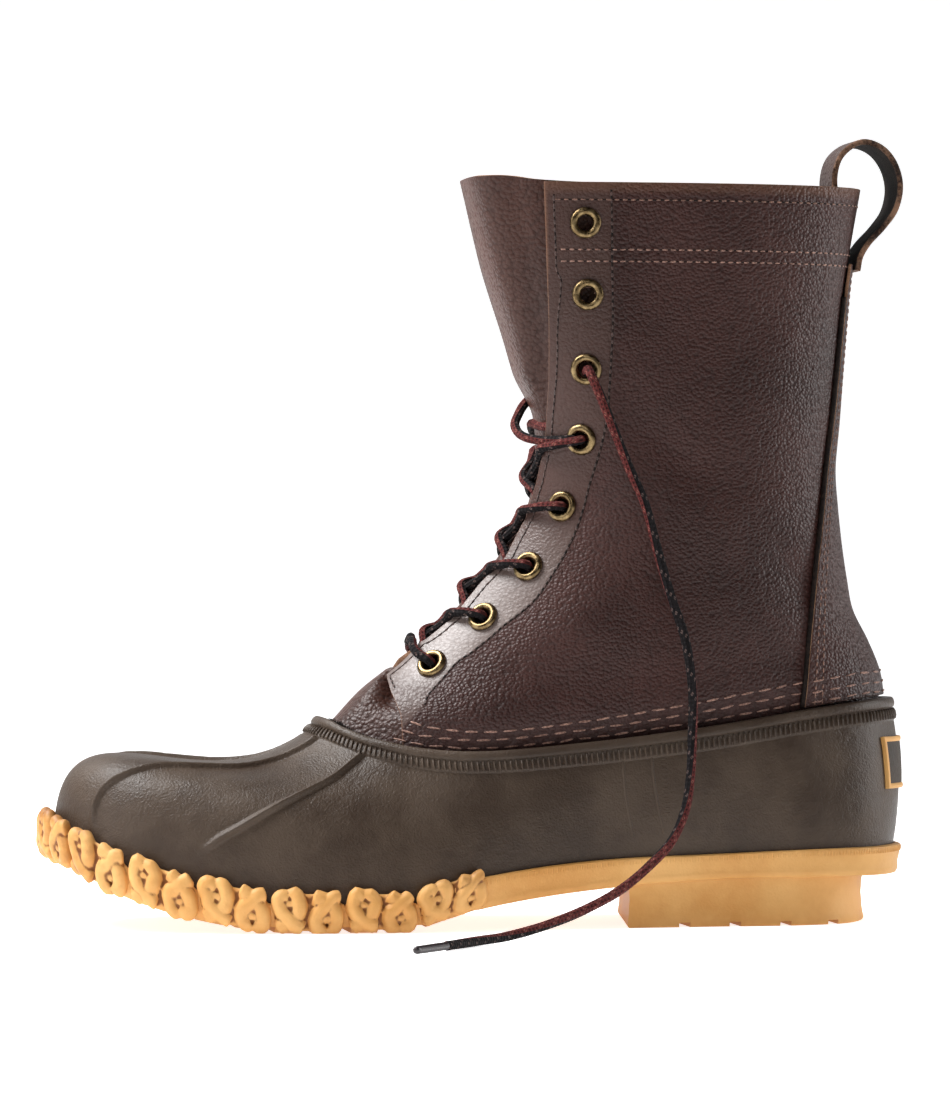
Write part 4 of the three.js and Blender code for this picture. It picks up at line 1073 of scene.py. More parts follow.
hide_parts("insole")

# Leather upper: two quarters of pebbled dark brown leather, 2.2 mm thick, with a closed back
# Their front edges are cut raw, and a smoother eyestay runs down each. Soft troughs cross the ankle.
shaft_width = 75
collar_height = 257
shaft_rise = collar_height - rim_height
leather_wall = 2.2
leather_tuck = 12
inside_shell = -3.5
throat_gap = 16
far_set_back = 4.5
top_row = 12

# level, settle, front, back, lateral, medial, widest, brow, calf
shaft_sections = [
    (0.052, 0.10, 0.640, 0.018, 0.515, 0.500, 0.30, 2.2, 2.2),
    (0.115, 0.25, 0.594, 0.032, 0.500, 0.487, 0.32, 2.1, 2.2),
    (0.188, 0.45, 0.559, 0.052, 0.493, 0.480, 0.36, 1.9, 2.3),
    (0.262, 0.65, 0.522, 0.060, 0.487, 0.473, 0.40, 1.8, 2.3),
    (0.335, 0.85, 0.487, 0.066, 0.480, 0.467, 0.43, 1.8, 2.3),
    (0.414, 1.00, 0.457, 0.071, 0.473, 0.467, 0.45, 1.9, 2.3),
    (0.482, 1.00, 0.446, 0.074, 0.473, 0.467, 0.45, 2.1, 2.3),
    (0.571, 1.00, 0.446, 0.069, 0.480, 0.473, 0.44, 2.4, 2.3),
    (0.702, 1.00, 0.466, 0.063, 0.487, 0.480, 0.42, 2.8, 2.4),
    (0.848, 1.00, 0.495, 0.054, 0.493, 0.487, 0.40, 3.1, 2.4),
    (1.000, 1.00, 0.520, 0.037, 0.500, 0.493, 0.38, 3.3, 2.4),
]
# Front edge of the quarters: height, share of the collar's; place ahead of the heel, share of the length
throat_edge = np.array([
    (0.160, 0.602), (0.285, 0.604), (0.318, 0.612), (0.340, 0.613), (0.358, 0.605), (0.372, 0.586),
    (0.385, 0.567), (0.415, 0.536), (0.461, 0.503), (0.497, 0.473), (0.528, 0.459), (0.553, 0.447),
    (0.598, 0.436), (0.651, 0.428), (0.735, 0.428), (0.812, 0.431), (0.888, 0.435), (1.030, 0.441),
])


def section_point(row, t):
    edge = rim(t)
    share = np.clip((edge[:, 0] - rim_front) / rim_length, 0, 1)
    front, back = heel_back - row[2] * shell_length, heel_back - row[3] * shell_length
    side = np.where((t % 1) < 0.5, -row[4], row[5])
    level = rim_height + row[0] * shaft_rise
    return np.stack([
        front + (back - front) * share,
        side * shaft_width * fullness(share, row[6], row[7], row[8]),
        level + (1 - row[1]) * (edge[:, 2] - rim_height),
    ], axis=1)


def shaft_point(t, w):
    """Outer face of the leather: t runs round the boot, w from the tucked edge, 0, to the collar, 12."""
    t, w = np.broadcast_arrays(np.asarray(t, float), np.asarray(w, float))
    shape, t, w = t.shape, t.ravel(), w.ravel()
    deep = np.full(len(t), float(inside_shell))
    points = [shell_at(t, below_rim(t, leather_tuck), deep), shell_at(t, np.ones(len(t)), deep)]
    points += [section_point(row, t) for row in shaft_sections]
    point = curve_point(np.stack(points, axis=1), np.clip(w / top_row, 0, 1))
    return point.reshape(shape + (3,))


def shaft_at(t, w, offset):
    return shaft_point(t, w) + normal_of(shaft_point, t, w, top_row) * np.asarray(offset, float)[..., None]


def shaft_spot(x, z, side):
    """Where the leather shows at x, z in the side view: its t and w."""
    if side not in spot_tables:
        t, w = np.meshgrid(-side * np.linspace(0.01, 0.49, 140) % 1, np.linspace(0.8, 12, 130), indexing="ij")
        spot_tables[side] = (t, w, shaft_point(t, w))
    t, w, table = spot_tables[side]
    k = np.argmin((table[:, :, 0] - x) ** 2 + (table[:, :, 2] - z) ** 2)
    t, w = float(t.ravel()[k]), float(w.ravel()[k])
    for _ in range(6):
        here = shaft_point(t, w)[[0, 2]]
        by_t = (shaft_point(t + 0.001, w)[[0, 2]] - here) / 0.001
        by_w = (shaft_point(t, w - 0.001)[[0, 2]] - here) / -0.001
        step = np.linalg.lstsq(np.stack([by_t, by_w], axis=1), np.array((x, z)) - here, rcond=None)[0]
        t, w = t + float(np.clip(step[0], -0.01, 0.01)), w + float(np.clip(step[1], -0.2, 0.2))
    return t % 1, min(max(w, 0.0), 12.0)


spot_tables = {}


def find_edge(w, side, table, set_back, gap, low, high):
    """How far round, as a distance from t = 0, an edge drawn in the side view crosses a row."""
    low, high = np.full(len(w), low), np.full(len(w), high)
    for _ in range(22):
        t = (low + high) / 2
        point = shaft_point(-side * t, w)
        share = np.interp(point[:, 2] / collar_height, table[:, 0], table[:, 1])
        edge = heel_back - share * shell_length + set_back
        before = (point[:, 0] < edge) | (np.abs(point[:, 1]) < gap)
        low, high = np.where(before, t, low), np.where(before, high, t)
    return high


edge_rows = np.linspace(0, top_row, 241)
set_backs = {-1: 0, 1: far_set_back}
quarter_table = {side: find_edge(edge_rows, side, throat_edge, set_backs[side], throat_gap / 2, 0.0, 0.4)
                 for side in (-1, 1)}


def quarter_edge(w, side):
    return np.interp(w, edge_rows, quarter_table[side])


def edge_in(w, side, distance):
    """t at a distance behind the quarter's front edge, along its row."""
    t = quarter_edge(w, side)
    speed = np.linalg.norm(shaft_point(-side * (t + 0.004), w) - shaft_point(-side * t, w), axis=-1) / 0.004
    return t + distance / speed


# Eyelets of one side, bottom to top: height, share of the collar's; place behind the edge, share of
# eyelet_set_back
eyelet_set_back = 13.7
eyelet_rows = [(0.353, 0.94), (0.416, 0.68), (0.484, 0.72), (0.565, 0.72),
               (0.655, 0.80), (0.749, 0.88), (0.849, 0.98), (0.945, 1.00)]
eyelets = {}
for side in (-1, 1):
    for k, (up, back) in enumerate(eyelet_rows):
        edge = heel_back - np.interp(up, throat_edge[:, 0], throat_edge[:, 1]) * shell_length
        edge += 0 if side < 0 else far_set_back
        t, w = shaft_spot(edge + back * eyelet_set_back, up * collar_height, side)
        eyelets[side, k] = (t, w, shaft_point(t, w), normal_of(shaft_point, t, w, top_row))

# Eyestay seam as x, z in the side view, from the collar down to the rim, in mm
stay_line = [(-52.4, 254.2), (-52.0, 237), (-51.7, 216), (-52.2, 192.2), (-54.3, 168.1), (-58.9, 150.8),
             (-64.6, 133.6), (-70.4, 123.2), (-76.7, 113.9), (-90.7, 101.9), (-99.0, 95.1), (-107.0, 88.5),
             (-113.1, 82.0), (-116.2, 76.8)]
stay_seam = {}
for side in (-1, 1):
    shift = 0 if side < 0 else far_set_back * 0.6
    places = [shaft_spot(x + shift, z, side) for x, z in stay_line]
    places = np.array([(100 * abs(((t + 0.5) % 1) - 0.5), w, 0) for t, w in places])
    stay_seam[side] = spline(places, count=260)

quarter_columns = 112
quarter_rows = np.concatenate([np.linspace(0, 1.2, 12, endpoint=False), np.linspace(1.2, 12, 138)])
grid = []
for k in range(-quarter_columns, quarter_columns + 1):
    side = -1 if k <= 0 else 1
    share = 1 - abs(k) / quarter_columns
    edge = quarter_edge(quarter_rows, side)
    grid.append((-side * (edge + (0.5 - edge) * share)) % 1)
grid = np.array(grid)
rows = np.broadcast_to(quarter_rows, grid.shape)
upper_points = shaft_point(grid, rows)

# Creases: side, then the line they follow as x, z in the side view, half width and depth, all in mm
creases = [
    (-1, [(-47, 180), (-37, 170), (-24, 158), (-14, 152)], 7.0, 0.95),
    (-1, [(-52, 168), (-38, 152), (-20, 141), (-2, 138)], 9.0, -0.7),
    (-1, [(-60, 131), (-46, 124), (-30, 120), (-12, 121)], 8.0, 0.7),
    (-1, [(-78, 112), (-62, 103), (-44, 98), (-24, 97)], 9.0, -0.7),
    (-1, [(-66, 150), (-60, 146), (-53, 144)], 4.0, 0.5),
    (-1, [(2, 132), (12, 124), (22, 118), (30, 117)], 7.0, 0.7),
    (-1, [(-4, 110), (8, 104), (20, 101)], 8.0, -0.6),
    (-1, [(-93, 92), (-80, 86), (-62, 83)], 6.0, 0.5),
    (-1, [(-30, 215), (-10, 205), (12, 203)], 16.0, 0.6),
    (1, [(-46, 176), (-32, 163), (-12, 152), (4, 148)], 8.0, 0.9),
    (1, [(-58, 136), (-40, 126), (-20, 122), (0, 124)], 9.0, 0.8),
    (1, [(-74, 110), (-56, 101), (-34, 97)], 9.0, -0.7),
    (1, [(4, 130), (16, 121), (28, 117)], 7.0, 0.7),
    (1, [(-20, 212), (0, 204), (18, 204)], 15.0, 0.6),
]
normals = grid_normals(upper_points, False)
if float(np.mean(normals[:, :, 1] * np.sign(upper_points[:, :, 1]))) < 0:
    normals = -normals
push = np.zeros(grid.shape)
for side, line, width, depth in creases:
    guide = np.array([shaft_point(*shaft_spot(x, z, side)) for x, z in line])
    guide = spline(guide, step=3)
    gap = near_line(upper_points.reshape(-1, 3), guide).reshape(grid.shape)
    start = np.linalg.norm(upper_points - guide[0], axis=2)
    end = np.linalg.norm(upper_points - guide[-1], axis=2)
    taper = np.clip(np.minimum(start, end) / (0.35 * length_of(guide)) + 0.25, 0, 1)
    push -= depth * taper * np.exp(-(gap / width) ** 2)
steady = np.ones(grid.shape)
for (side, k), (t, w, centre, normal) in eyelets.items():
    steady *= 1 - np.exp(-(np.linalg.norm(upper_points - centre, axis=2) / 9) ** 4)
steady *= np.clip((rows - 1.3) / 0.9, 0, 1) * np.clip((12 - rows) / 1.2, 0, 1)
upper_shape = upper_points + normals * (push * steady)[:, :, None]


faces = np.array(grid_faces(grid.shape[0], grid.shape[1], False))
flat = upper_shape.reshape(-1, 3)
middles = flat[faces].mean(axis=1)
keep = np.ones(len(faces), bool)
for t, w, centre, normal in eyelets.values():
    away = middles - centre
    away -= (away @ normal)[:, None] * normal
    keep &= ~((np.linalg.norm(away, axis=1) < 3.5) & (np.linalg.norm(middles - centre, axis=1) < 9))
faces = faces[keep]
used = np.zeros(len(flat), bool)
used[faces.ravel()] = True
renumber = np.cumsum(used) - 1
folded = np.abs(((grid + 0.5) % 1) - 0.5)
behind_edge = np.array([folded[i] - quarter_edge(quarter_rows, -1 if i <= quarter_columns else 1)
                        for i in range(len(grid))])
# About how many millimetres the leather runs for each unit of t
speed = 60 / 0.11
seam_turn = {side: np.interp(quarter_rows, line[::-1, 1], line[::-1, 0] / 100)
             for side, line in stay_seam.items()}
seam_turn = np.array([seam_turn[-1 if i <= quarter_columns else 1] for i in range(len(grid))])
stay = np.clip((seam_turn - folded) * speed / 1.6 + 0.5, 0, 1)

# Pebbled leather group: cells of about 1.2 mm, flatter where Smooth is 1, with creased pores between
pebble, into, out = effect_group(
    "pebbled_leather",
    [("Dark", "NodeSocketColor", (0.03, 0.02, 0.015, 1)), ("Light", "NodeSocketColor", (0.1, 0.06, 0.05, 1)),
     ("Smooth", "NodeSocketFloat", 0.0), ("Size", "NodeSocketFloat", 700.0)],
    [("Color", "NodeSocketColor"), ("Roughness", "NodeSocketFloat"), ("Normal", "NodeSocketVector")],
)
place = own_place(pebble)
drift = put(pebble, "ShaderNodeTexNoise", {"Vector": place, "Scale": 260, "Detail": 2}).outputs["Color"]
bent = put(pebble, "ShaderNodeMix", {0: 0.0005, 4: place, 5: drift}, data_type="VECTOR").outputs[1]
long_way = put(pebble, "ShaderNodeMapping", {"Vector": bent, "Scale": (0.92, 0.96, 1.06)}).outputs[0]
cell_inputs = {"Vector": long_way, "Scale": into.outputs["Size"], "Smoothness": 0.12}
cells = put(pebble, "ShaderNodeTexVoronoi", cell_inputs, feature="SMOOTH_F1").outputs["Distance"]
cells = maths(pebble, "POWER", maths(pebble, "MAXIMUM", cells, 0.0), 1.6)
small = put(pebble, "ShaderNodeTexVoronoi", {"Vector": long_way, "Scale": 1900}, feature="F1")
small = small.outputs["Distance"]
broad = noise(pebble, place, 22, 4, 0.55)
fine = noise(pebble, place, 2400, 3)
patches = noise(pebble, place, 90, 3)
rough_part = maths(pebble, "SUBTRACT", 1.0, into.outputs["Smooth"])
cell_depth = maths(pebble, "MULTIPLY_ADD", rough_part, 0.72, 0.2)
relief_height = maths(pebble, "MULTIPLY", maths(pebble, "MULTIPLY", cells, -1.0), cell_depth)
relief_height = maths(pebble, "ADD", relief_height, maths(pebble, "MULTIPLY", small, -0.16))
relief_height = maths(pebble, "MULTIPLY_ADD", fine, 0.05, relief_height)
pore = between(pebble, cells, 0.3, 0.62)
tone = blend_colour(pebble, between(pebble, broad, 0.3, 0.72), into.outputs["Dark"], into.outputs["Light"])
pore_share = maths(pebble, "MULTIPLY", pore, maths(pebble, "MULTIPLY", rough_part, 0.3))
tone = blend_colour(pebble, pore_share, tone, (0.012, 0.006, 0.005, 1))
tone = blend_colour(pebble, between(pebble, patches, 0.55, 0.8, 0, 0.25), tone, into.outputs["Light"])
rough = between(pebble, broad, 0.3, 0.7, 0.34, 0.42)
rough = maths(pebble, "ADD", rough, maths(pebble, "MULTIPLY", pore, 0.2))
rough = maths(pebble, "MULTIPLY_ADD", into.outputs["Smooth"], -0.06, rough)
relief = bump(pebble, relief_height, 0.85, 0.0005)
for socket, value in (("Color", tone), ("Roughness", rough), ("Normal", relief)):
    pebble.links.new(value, out.inputs[socket])


def leather_finish(name, dark, light, smooth=0.0, stay_light=None, size=880.0, stay_mark="stay"):
    material, tree = finish_tree(name)
    group = put(tree, "ShaderNodeGroup", node_tree=pebble)
    for socket, value in (("Dark", dark), ("Light", light), ("Size", size)):
        group.inputs[socket].default_value = value
    group.inputs["Smooth"].default_value = smooth
    colour = group.outputs["Color"]
    # The marked part is made smoother and lighter. On the tongue, whose mark is front, the lighter colour is
    # a painted highlight.
    if stay_light:
        mark = put(tree, "ShaderNodeAttribute", attribute_name=stay_mark).outputs["Fac"]
        tree.links.new(maths(tree, "MULTIPLY_ADD", mark, 0.62, smooth), group.inputs["Smooth"])
        colour = blend_colour(tree, maths(tree, "MULTIPLY", mark, 0.6), colour, stay_light)
    worn = put(tree, "ShaderNodeAttribute", attribute_name="worn").outputs["Fac"]
    colour = blend_colour(tree, maths(tree, "MULTIPLY", worn, 0.85), colour, (0.2, 0.095, 0.055, 1))
    # Painted sheen: where painted_sheen_and_gloss is set, the colour is lifted towards a pale grey brown, and
    # a real glossy coat is added.
    painted_sheen_and_gloss = put(tree, "ShaderNodeAttribute", attribute_name="painted_sheen_and_gloss").outputs["Fac"]
    colour = blend_colour(tree, maths(tree, "MULTIPLY", painted_sheen_and_gloss, 0.72), colour, (0.2, 0.156, 0.14, 1))
    gloss = maths(tree, "MULTIPLY", painted_sheen_and_gloss, 0.52)
    surface(tree, Base_Color=colour, Roughness=group.outputs["Roughness"], Normal=group.outputs["Normal"],
            Specular_IOR_Level=0.27, Coat_Weight=gloss, Coat_Roughness=0.35)
    return material


def suede_finish(name, dark, light, scale=1500, sheen=0.12):
    material, tree = finish_tree(name)
    place = own_place(tree)
    nap = noise(tree, place, scale, 5, 0.7)
    shade = noise(tree, place, 130, 4)
    mixed = maths(tree, "MULTIPLY_ADD", shade, 0.5, maths(tree, "MULTIPLY", nap, 0.5))
    tone = blend_colour(tree, between(tree, mixed, 0.38, 0.62), dark, light)
    relief = bump(tree, nap, 0.8, 0.0005)
    surface(tree, Base_Color=tone, Roughness=0.92, Normal=relief, Sheen_Weight=sheen,
            Sheen_Roughness=0.5, Specular_IOR_Level=0.2)
    return material


upper_leather = leather_finish("upper_leather", (0.027, 0.0095, 0.0075, 1), (0.056, 0.021, 0.017, 1), 0.0,
                               (0.075, 0.042, 0.034, 1))
flesh_side = suede_finish("leather_flesh_side", (0.05, 0.025, 0.016, 1), (0.1, 0.055, 0.035, 1))
cut_edge = suede_finish("leather_cut_edge", (0.17, 0.08, 0.045, 1), (0.4, 0.22, 0.13, 1), 1900)
upper = mesh_piece("leather_quarters", flat[used], [tuple(renumber[v] for v in face) for face in faces],
                   (upper_leather, flesh_side, cut_edge))
set_attribute(upper, "stay", stay.ravel()[used])
worn = np.maximum(np.clip(1 - behind_edge * speed / 1.6, 0, 1), 0.5 * np.clip((rows - 11.86) / 0.1, 0, 1))
set_attribute(upper, "worn", worn.ravel()[used])
# A pale painted sheen with a glossy coat on the eyestay. It is strongest low down near the instep and fades
# out above.
height = flat[used][:, 2]
painted_sheen_and_gloss = stay.ravel()[used] * np.clip((145 - height) / 38, 0, 1) * np.clip((height - 80) / 10, 0.2, 1)
set_attribute(upper, "painted_sheen_and_gloss", painted_sheen_and_gloss)
if upper.data.polygons[0].normal.dot(Vector(normals[0, 0])) < 0:
    upper.data.flip_normals()


def thicken(piece, thickness, round_off=0.45):
    """Gives a sheet its thickness inward, with its inner face and its edge in their own materials."""
    shell_modifier = piece.modifiers.new("thickness", "SOLIDIFY")
    shell_modifier.thickness = thickness * MM
    shell_modifier.offset = -1
    shell_modifier.use_even_offset = False
    shell_modifier.material_offset = 1
    shell_modifier.material_offset_rim = 2
    if round_off:
        edge_modifier = piece.modifiers.new("edge", "BEVEL")
        edge_modifier.width = round_off * MM
        edge_modifier.segments = 2
        edge_modifier.limit_method = "ANGLE"
        edge_modifier.angle_limit = math.radians(60)
    select_only(piece)
    for name in [m.name for m in piece.modifiers]:
        bpy.ops.object.modifier_apply(modifier=name)


thicken(upper, leather_wall)
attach(upper, "root")
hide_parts("leather_upper")

# Eyelets: rolled rings of antique brass through the quarters, eight on a side, dark inside
brass, tree = finish_tree("antique_brass")
place = own_place(tree)
wear = noise(tree, place, 420, 5, 0.65)
streaks = put(tree, "ShaderNodeMapping", {"Vector": place, "Scale": (300, 300, 3500)}).outputs[0]
scratch = noise(tree, streaks, 1, 3)
tone = blend_colour(tree, between(tree, wear, 0.4, 0.68), (0.13, 0.088, 0.042, 1), (0.32, 0.23, 0.115, 1))
tone = blend_colour(tree, between(tree, scratch, 0.6, 0.8, 0, 0.4), tone, (0.16, 0.1, 0.05, 1))
relief = bump(tree, scratch, 0.05, 0.0002)
polish = between(tree, wear, 0.3, 0.7, 0.22, 0.4)
surface(tree, Base_Color=tone, Metallic=1.0, Roughness=polish, Normal=relief)
eyelet_radius, roll_radius = 4.05, 1.4


def eyelet_model():
    bpy.ops.mesh.primitive_torus_add(major_radius=eyelet_radius, minor_radius=roll_radius,
                                     major_segments=56, minor_segments=24)
    ring = bpy.context.object
    for v in ring.data.vertices:
        radius = math.hypot(v.co.x, v.co.y)
        if v.co.z < 0 and radius < eyelet_radius:
            depth = min(1, (eyelet_radius - radius) / roll_radius)
            v.co.z -= 3.9 * depth ** 0.35
        elif v.co.z < 0:
            v.co.z *= 0.25
        else:
            v.co.z *= 0.95


eyelet_points, eyelet_faces = unit_mesh(eyelet_model)
for (side, k), (t, w, centre, normal) in eyelets.items():
    along = np.cross((0, 0, 1.0), normal)
    along /= np.linalg.norm(along)
    axes = (along, np.cross(normal, along), normal)
    points, faces = placed((eyelet_points, eyelet_faces), [(centre + normal * 0.35, axes, (1, 1, 1))])
    name = "eyelet_%s_%d" % ("left" if side < 0 else "right", k + 1)
    ring = mesh_piece(name + "_ring", points, faces, (brass,))
    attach(ring, "root")
    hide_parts(name)

# Tongue: one gusseted sheet of the same leather behind the throat, higher than the collar
# It is sunk where the lace crosses it, and the middle of its front is smoother, with a painted highlight that
# makes it lighter and redder.
tongue_wall = 2
under_quarter = leather_wall + clearance * 2.6
lace_room = leather_wall + 3.2 + clearance * 4


def smooth_ramp(value, low, high):
    s = np.clip((value - low) / (high - low), 0, 1)
    return s * s * (3 - 2 * s)


def tongue_depth(t, w):
    up = shaft_point(t, w)[..., 2] / collar_height
    edge = np.where(t > 0, quarter_edge(w, -1), quarter_edge(w, 1))
    sunk = clearance + (lace_room * 0.75 - clearance) * smooth_ramp(up, 0.345, 0.365)
    middle = sunk + (tongue_wall * 0.75 - sunk) * smooth_ramp(up, 0.68, 0.75)
    side = under_quarter + (lace_room - under_quarter) * smooth_ramp(up, 0.28, 0.33)
    return middle + (side - middle) * smooth_ramp(np.abs(t), edge * 0.25, edge * 0.8)


tongue_columns = 44
tongue_rows = np.linspace(0, 12, 140)
columns, signs = [], []
for k in range(-tongue_columns, tongue_columns + 1):
    share = k / tongue_columns
    t = share * (quarter_edge(tongue_rows, 1 if k < 0 else -1) + 0.05)
    points = shaft_at(t, tongue_rows, -tongue_depth(t, tongue_rows))
    rise = np.clip((tongue_rows - 11) / 1, 0, 1)
    points[:, 2] += 2.5 * math.cos(share * math.pi / 2) * rise
    columns.append(points)
    signs.append(np.full(len(tongue_rows), 1 - abs(share)))
tongue_grid = np.array(columns)
tongue_leather = leather_finish("tongue_leather", (0.036, 0.014, 0.01, 1), (0.062, 0.025, 0.018, 1), 0.0,
                                (0.13, 0.045, 0.028, 1), 700.0, "front")
faces = grid_faces(len(tongue_grid), len(tongue_rows), False)
tongue = mesh_piece("tongue_gusset", tongue_grid.reshape(-1, 3), faces,
                    (tongue_leather, flesh_side, cut_edge))
# front: the middle of the tongue's front, smoother and painted lighter and redder as a highlight.
set_attribute(tongue, "front", np.clip((np.array(signs).ravel() - 0.8) / 0.2, 0, 1) * 0.55)
front_face = tongue.data.polygons[tongue_columns * (len(tongue_rows) - 1) + 70]
if front_face.normal.x > 0:
    tongue.data.flip_normals()
thicken(tongue, tongue_wall)
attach(tongue, "root")
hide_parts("tongue")

# Backstay: a strip of the same leather over the back seam, wide at the rim and narrow under the cuff
# A near-black rolled edge along its front side is painted shade for the gap there, and the strip is sewn down
# by double rows.
backstay_edge = np.array([(0.180, 0.122), (0.283, 0.125), (0.398, 0.115), (0.493, 0.106),
                          (0.585, 0.095), (0.711, 0.080), (0.848, 0.067), (0.897, 0.060)])
backstay_gap = clearance * 2.4
backstay_thickness = 1.2
strip_rows = np.linspace(1.15, 11.1, 120)
strip_edge = {side: find_edge(strip_rows, side, backstay_edge, 0, 0, 0.25, 0.5) for side in (-1, 1)}
columns = []
for k in range(-28, 29):
    side = -1 if k <= 0 else 1
    share = 1 - abs(k) / 28
    t = (-side * (strip_edge[side] + (0.5 - strip_edge[side]) * share)) % 1
    columns.append(shaft_at(t, strip_rows, np.full(len(strip_rows), backstay_gap + backstay_thickness)))
strip = np.array(columns)
backstay = mesh_piece("backstay_strip", strip.reshape(-1, 3), grid_faces(len(strip), len(strip_rows), False),
                      (upper_leather, flesh_side, cut_edge))
set_attribute(backstay, "stay", np.zeros(len(backstay.data.vertices)))
if backstay.data.polygons[28 * 119 + 60].normal.x < 0:
    backstay.data.flip_normals()
thicken(backstay, backstay_thickness, round_off=0.3)
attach(backstay, "root")
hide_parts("backstay")

# Near black: the frayed fringe's own colour, and painted shade on the backstay's edge and in the seam
# grooves.
black_edge_and_painted_shade, tree = finish_tree("black_edge_and_painted_shade")
place = own_place(tree)
grain = noise(tree, place, 900, 3)
relief = bump(tree, grain, 0.3, 0.0003)
tone = blend_colour(tree, between(tree, grain, 0.35, 0.7), (0.006, 0.004, 0.0035, 1), (0.02, 0.012, 0.009, 1))
surface(tree, Base_Color=tone, Roughness=0.7, Normal=relief, Specular_IOR_Level=0.15)
# Painted shade: a near-black rope along the backstay's front edge, where the gap under the strip is in shade.
parts = []
for side in (-1, 1):
    t = (-side * (strip_edge[side] - 0.0006)) % 1
    edge_line = shaft_at(t, strip_rows, np.full(len(strip_rows), 0.75))
    parts.append(rope(spline(edge_line[::6], step=1.5), 0.95, sides=10))
points, faces, _ = join_parts(parts)
backstay_edge_shade = mesh_piece("backstay_edge_painted_shade", points, faces, (black_edge_and_painted_shade,))
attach(backstay_edge_shade, "root")

# Pull loop: a strip of leather 21 mm wide and 2 mm thick, raw at its edges, from inside the collar
# up and over to the backstay's top.
loop_reach, loop_rise, loop_width, loop_thickness = 13, 16.8, 21, 2
loop_way = [(-0.73, -1.31), (-0.73, -0.48), (-0.82, 0.24), (-0.68, 0.65), (-0.38, 0.89), (0, 1), (0.48, 0.88),
            (0.83, 0.57), (1, 0.11), (0.88, -0.39), (0.54, -0.77), (0.12, -1.12), (-0.1, -1.4), (-0.18, -1.7)]
collar_back = float(shaft_point(0.5, 12.0)[0])
way = np.array([(collar_back + a * loop_reach, 0, collar_height + b * loop_rise) for a, b in loop_way])
way = spline(way, count=120)
along = np.gradient(way, axis=0)
along /= np.linalg.norm(along, axis=1)[:, None]
over = np.stack([-along[:, 2], 0 * along[:, 0], along[:, 0]], axis=1)
half, thick, bend = loop_width / 2, loop_thickness / 2, 0.35
section = [(-half, -thick + bend), (-half, thick - bend), (-half + bend, thick)]
section += [(y, thick) for y in np.linspace(-half + 1.2, half - 1.2, 15)] + [(half - bend, thick)]
section += [(half, thick - bend), (half, -thick + bend), (half - bend, -thick)]
section += [(y, -thick) for y in np.linspace(half - 1.2, -half + 1.2, 15)] + [(-half + bend, -thick)]
rng = np.random.default_rng(11)
# Only the second row of these draws shapes the frayed edge
fray = 0.22 * np.sin(np.arange(len(way)) * 0.55) + rng.normal(0, 0.08, (2, len(way)))[1]
rings = []
for y, h in section:
    rough_edge = fray * (abs(y) > half - 0.3) * np.sign(y)
    rings.append(way + over * h + np.array((0, 1.0, 0)) * (y + rough_edge)[:, None])
rings = np.array(rings).transpose(1, 0, 2)
n = len(section)
faces = grid_faces(len(way), n, False, True)
faces.append(tuple(range(n)))
faces.append(tuple(range(len(way) * n - 1, (len(way) - 1) * n - 1, -1)))
hole_middle = np.array((collar_back + 0.1 * loop_reach, 0, collar_height))
over_is_outer = (np.linalg.norm(way[60] + over[60] - hole_middle)
                 > np.linalg.norm(way[60] - over[60] - hole_middle))
# Materials round the section: 2 for its raw edges, 1 for the inner face and 0 for the outer one
ring_kinds = [2 if j in (0, 1, 18, 19, n - 1) else 1 if (2 <= j <= 17) != over_is_outer else 0
              for j in range(n)]
raw = ring_kinds * (len(way) - 1)
fleck_edge = suede_finish("loop_raw_edge", (0.02, 0.01, 0.007, 1), (0.24, 0.13, 0.08, 1), 1100)
dark_flesh = suede_finish("loop_inner_face", (0.008, 0.006, 0.005, 1), (0.022, 0.015, 0.012, 1), 1500, 0.0)
loop_leather = leather_finish("loop_leather", (0.03, 0.013, 0.01, 1), (0.06, 0.027, 0.02, 1), 0.35, None,
                              1000.0)
pull_loop = mesh_piece("pull_loop_strap", rings.reshape(-1, 3), faces,
                       (loop_leather, dark_flesh, fleck_edge), raw + [2, 2])
face_outward(pull_loop)
select_only(pull_loop)
bpy.ops.object.shade_smooth_by_angle(angle=math.radians(50))
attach(pull_loop, "root")
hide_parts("pull_loop")

# Lacing: the same lace through the lower six pairs of eyelets, over the edge of the upper quarter
# and under the edge of the lower one. Each crossing has two strands, and a bar joins the first pair.
over_lift, ring_lift, under_lift, back_lift = 2.0, 3.35, -4.3, -5.3


def strand_points(high, low, side):
    """From the eyelet it enters from outside, over that quarter and under the other, to the lower one."""
    t_high, w_high = abs(((eyelets[side, high][0] + 0.5) % 1) - 0.5), eyelets[side, high][1]
    w_low = eyelets[-side, low][1]
    drop = w_high - w_low
    rows = []
    centre, normal = eyelets[side, high][2:]
    rows.append(centre + normal * back_lift)
    rows.append(centre + normal * -1.2)
    rows.append(centre + normal * 1.9)
    edge = float(quarter_edge(w_high, side))
    for down, share, lift in ((0.04, 0.60, ring_lift), (0.07, 0.30, 2.7), (0.10, 0.0, over_lift)):
        t = edge + (t_high - edge) * share
        rows.append(shaft_at(-side * t, w_high - drop * down, lift))
    for down, share, lift in ((0.15, 0.9, 0.4), (0.28, 0.6, -2.2), (0.5, 0.05, -2.2 + 1.0 * side)):
        rows.append(shaft_at(-side * edge * share, w_high - drop * down, lift))
    edge = float(quarter_edge(w_low, -side))
    for down, share, lift in ((0.7, 0.6, -3.5), (0.88, 1.0, under_lift), (0.95, 1.25, under_lift)):
        rows.append(shaft_at(side * edge * share, w_high - drop * down, lift))
    centre, normal = eyelets[-side, low][2:]
    rows.append(centre + normal * back_lift)
    return np.array(rows)


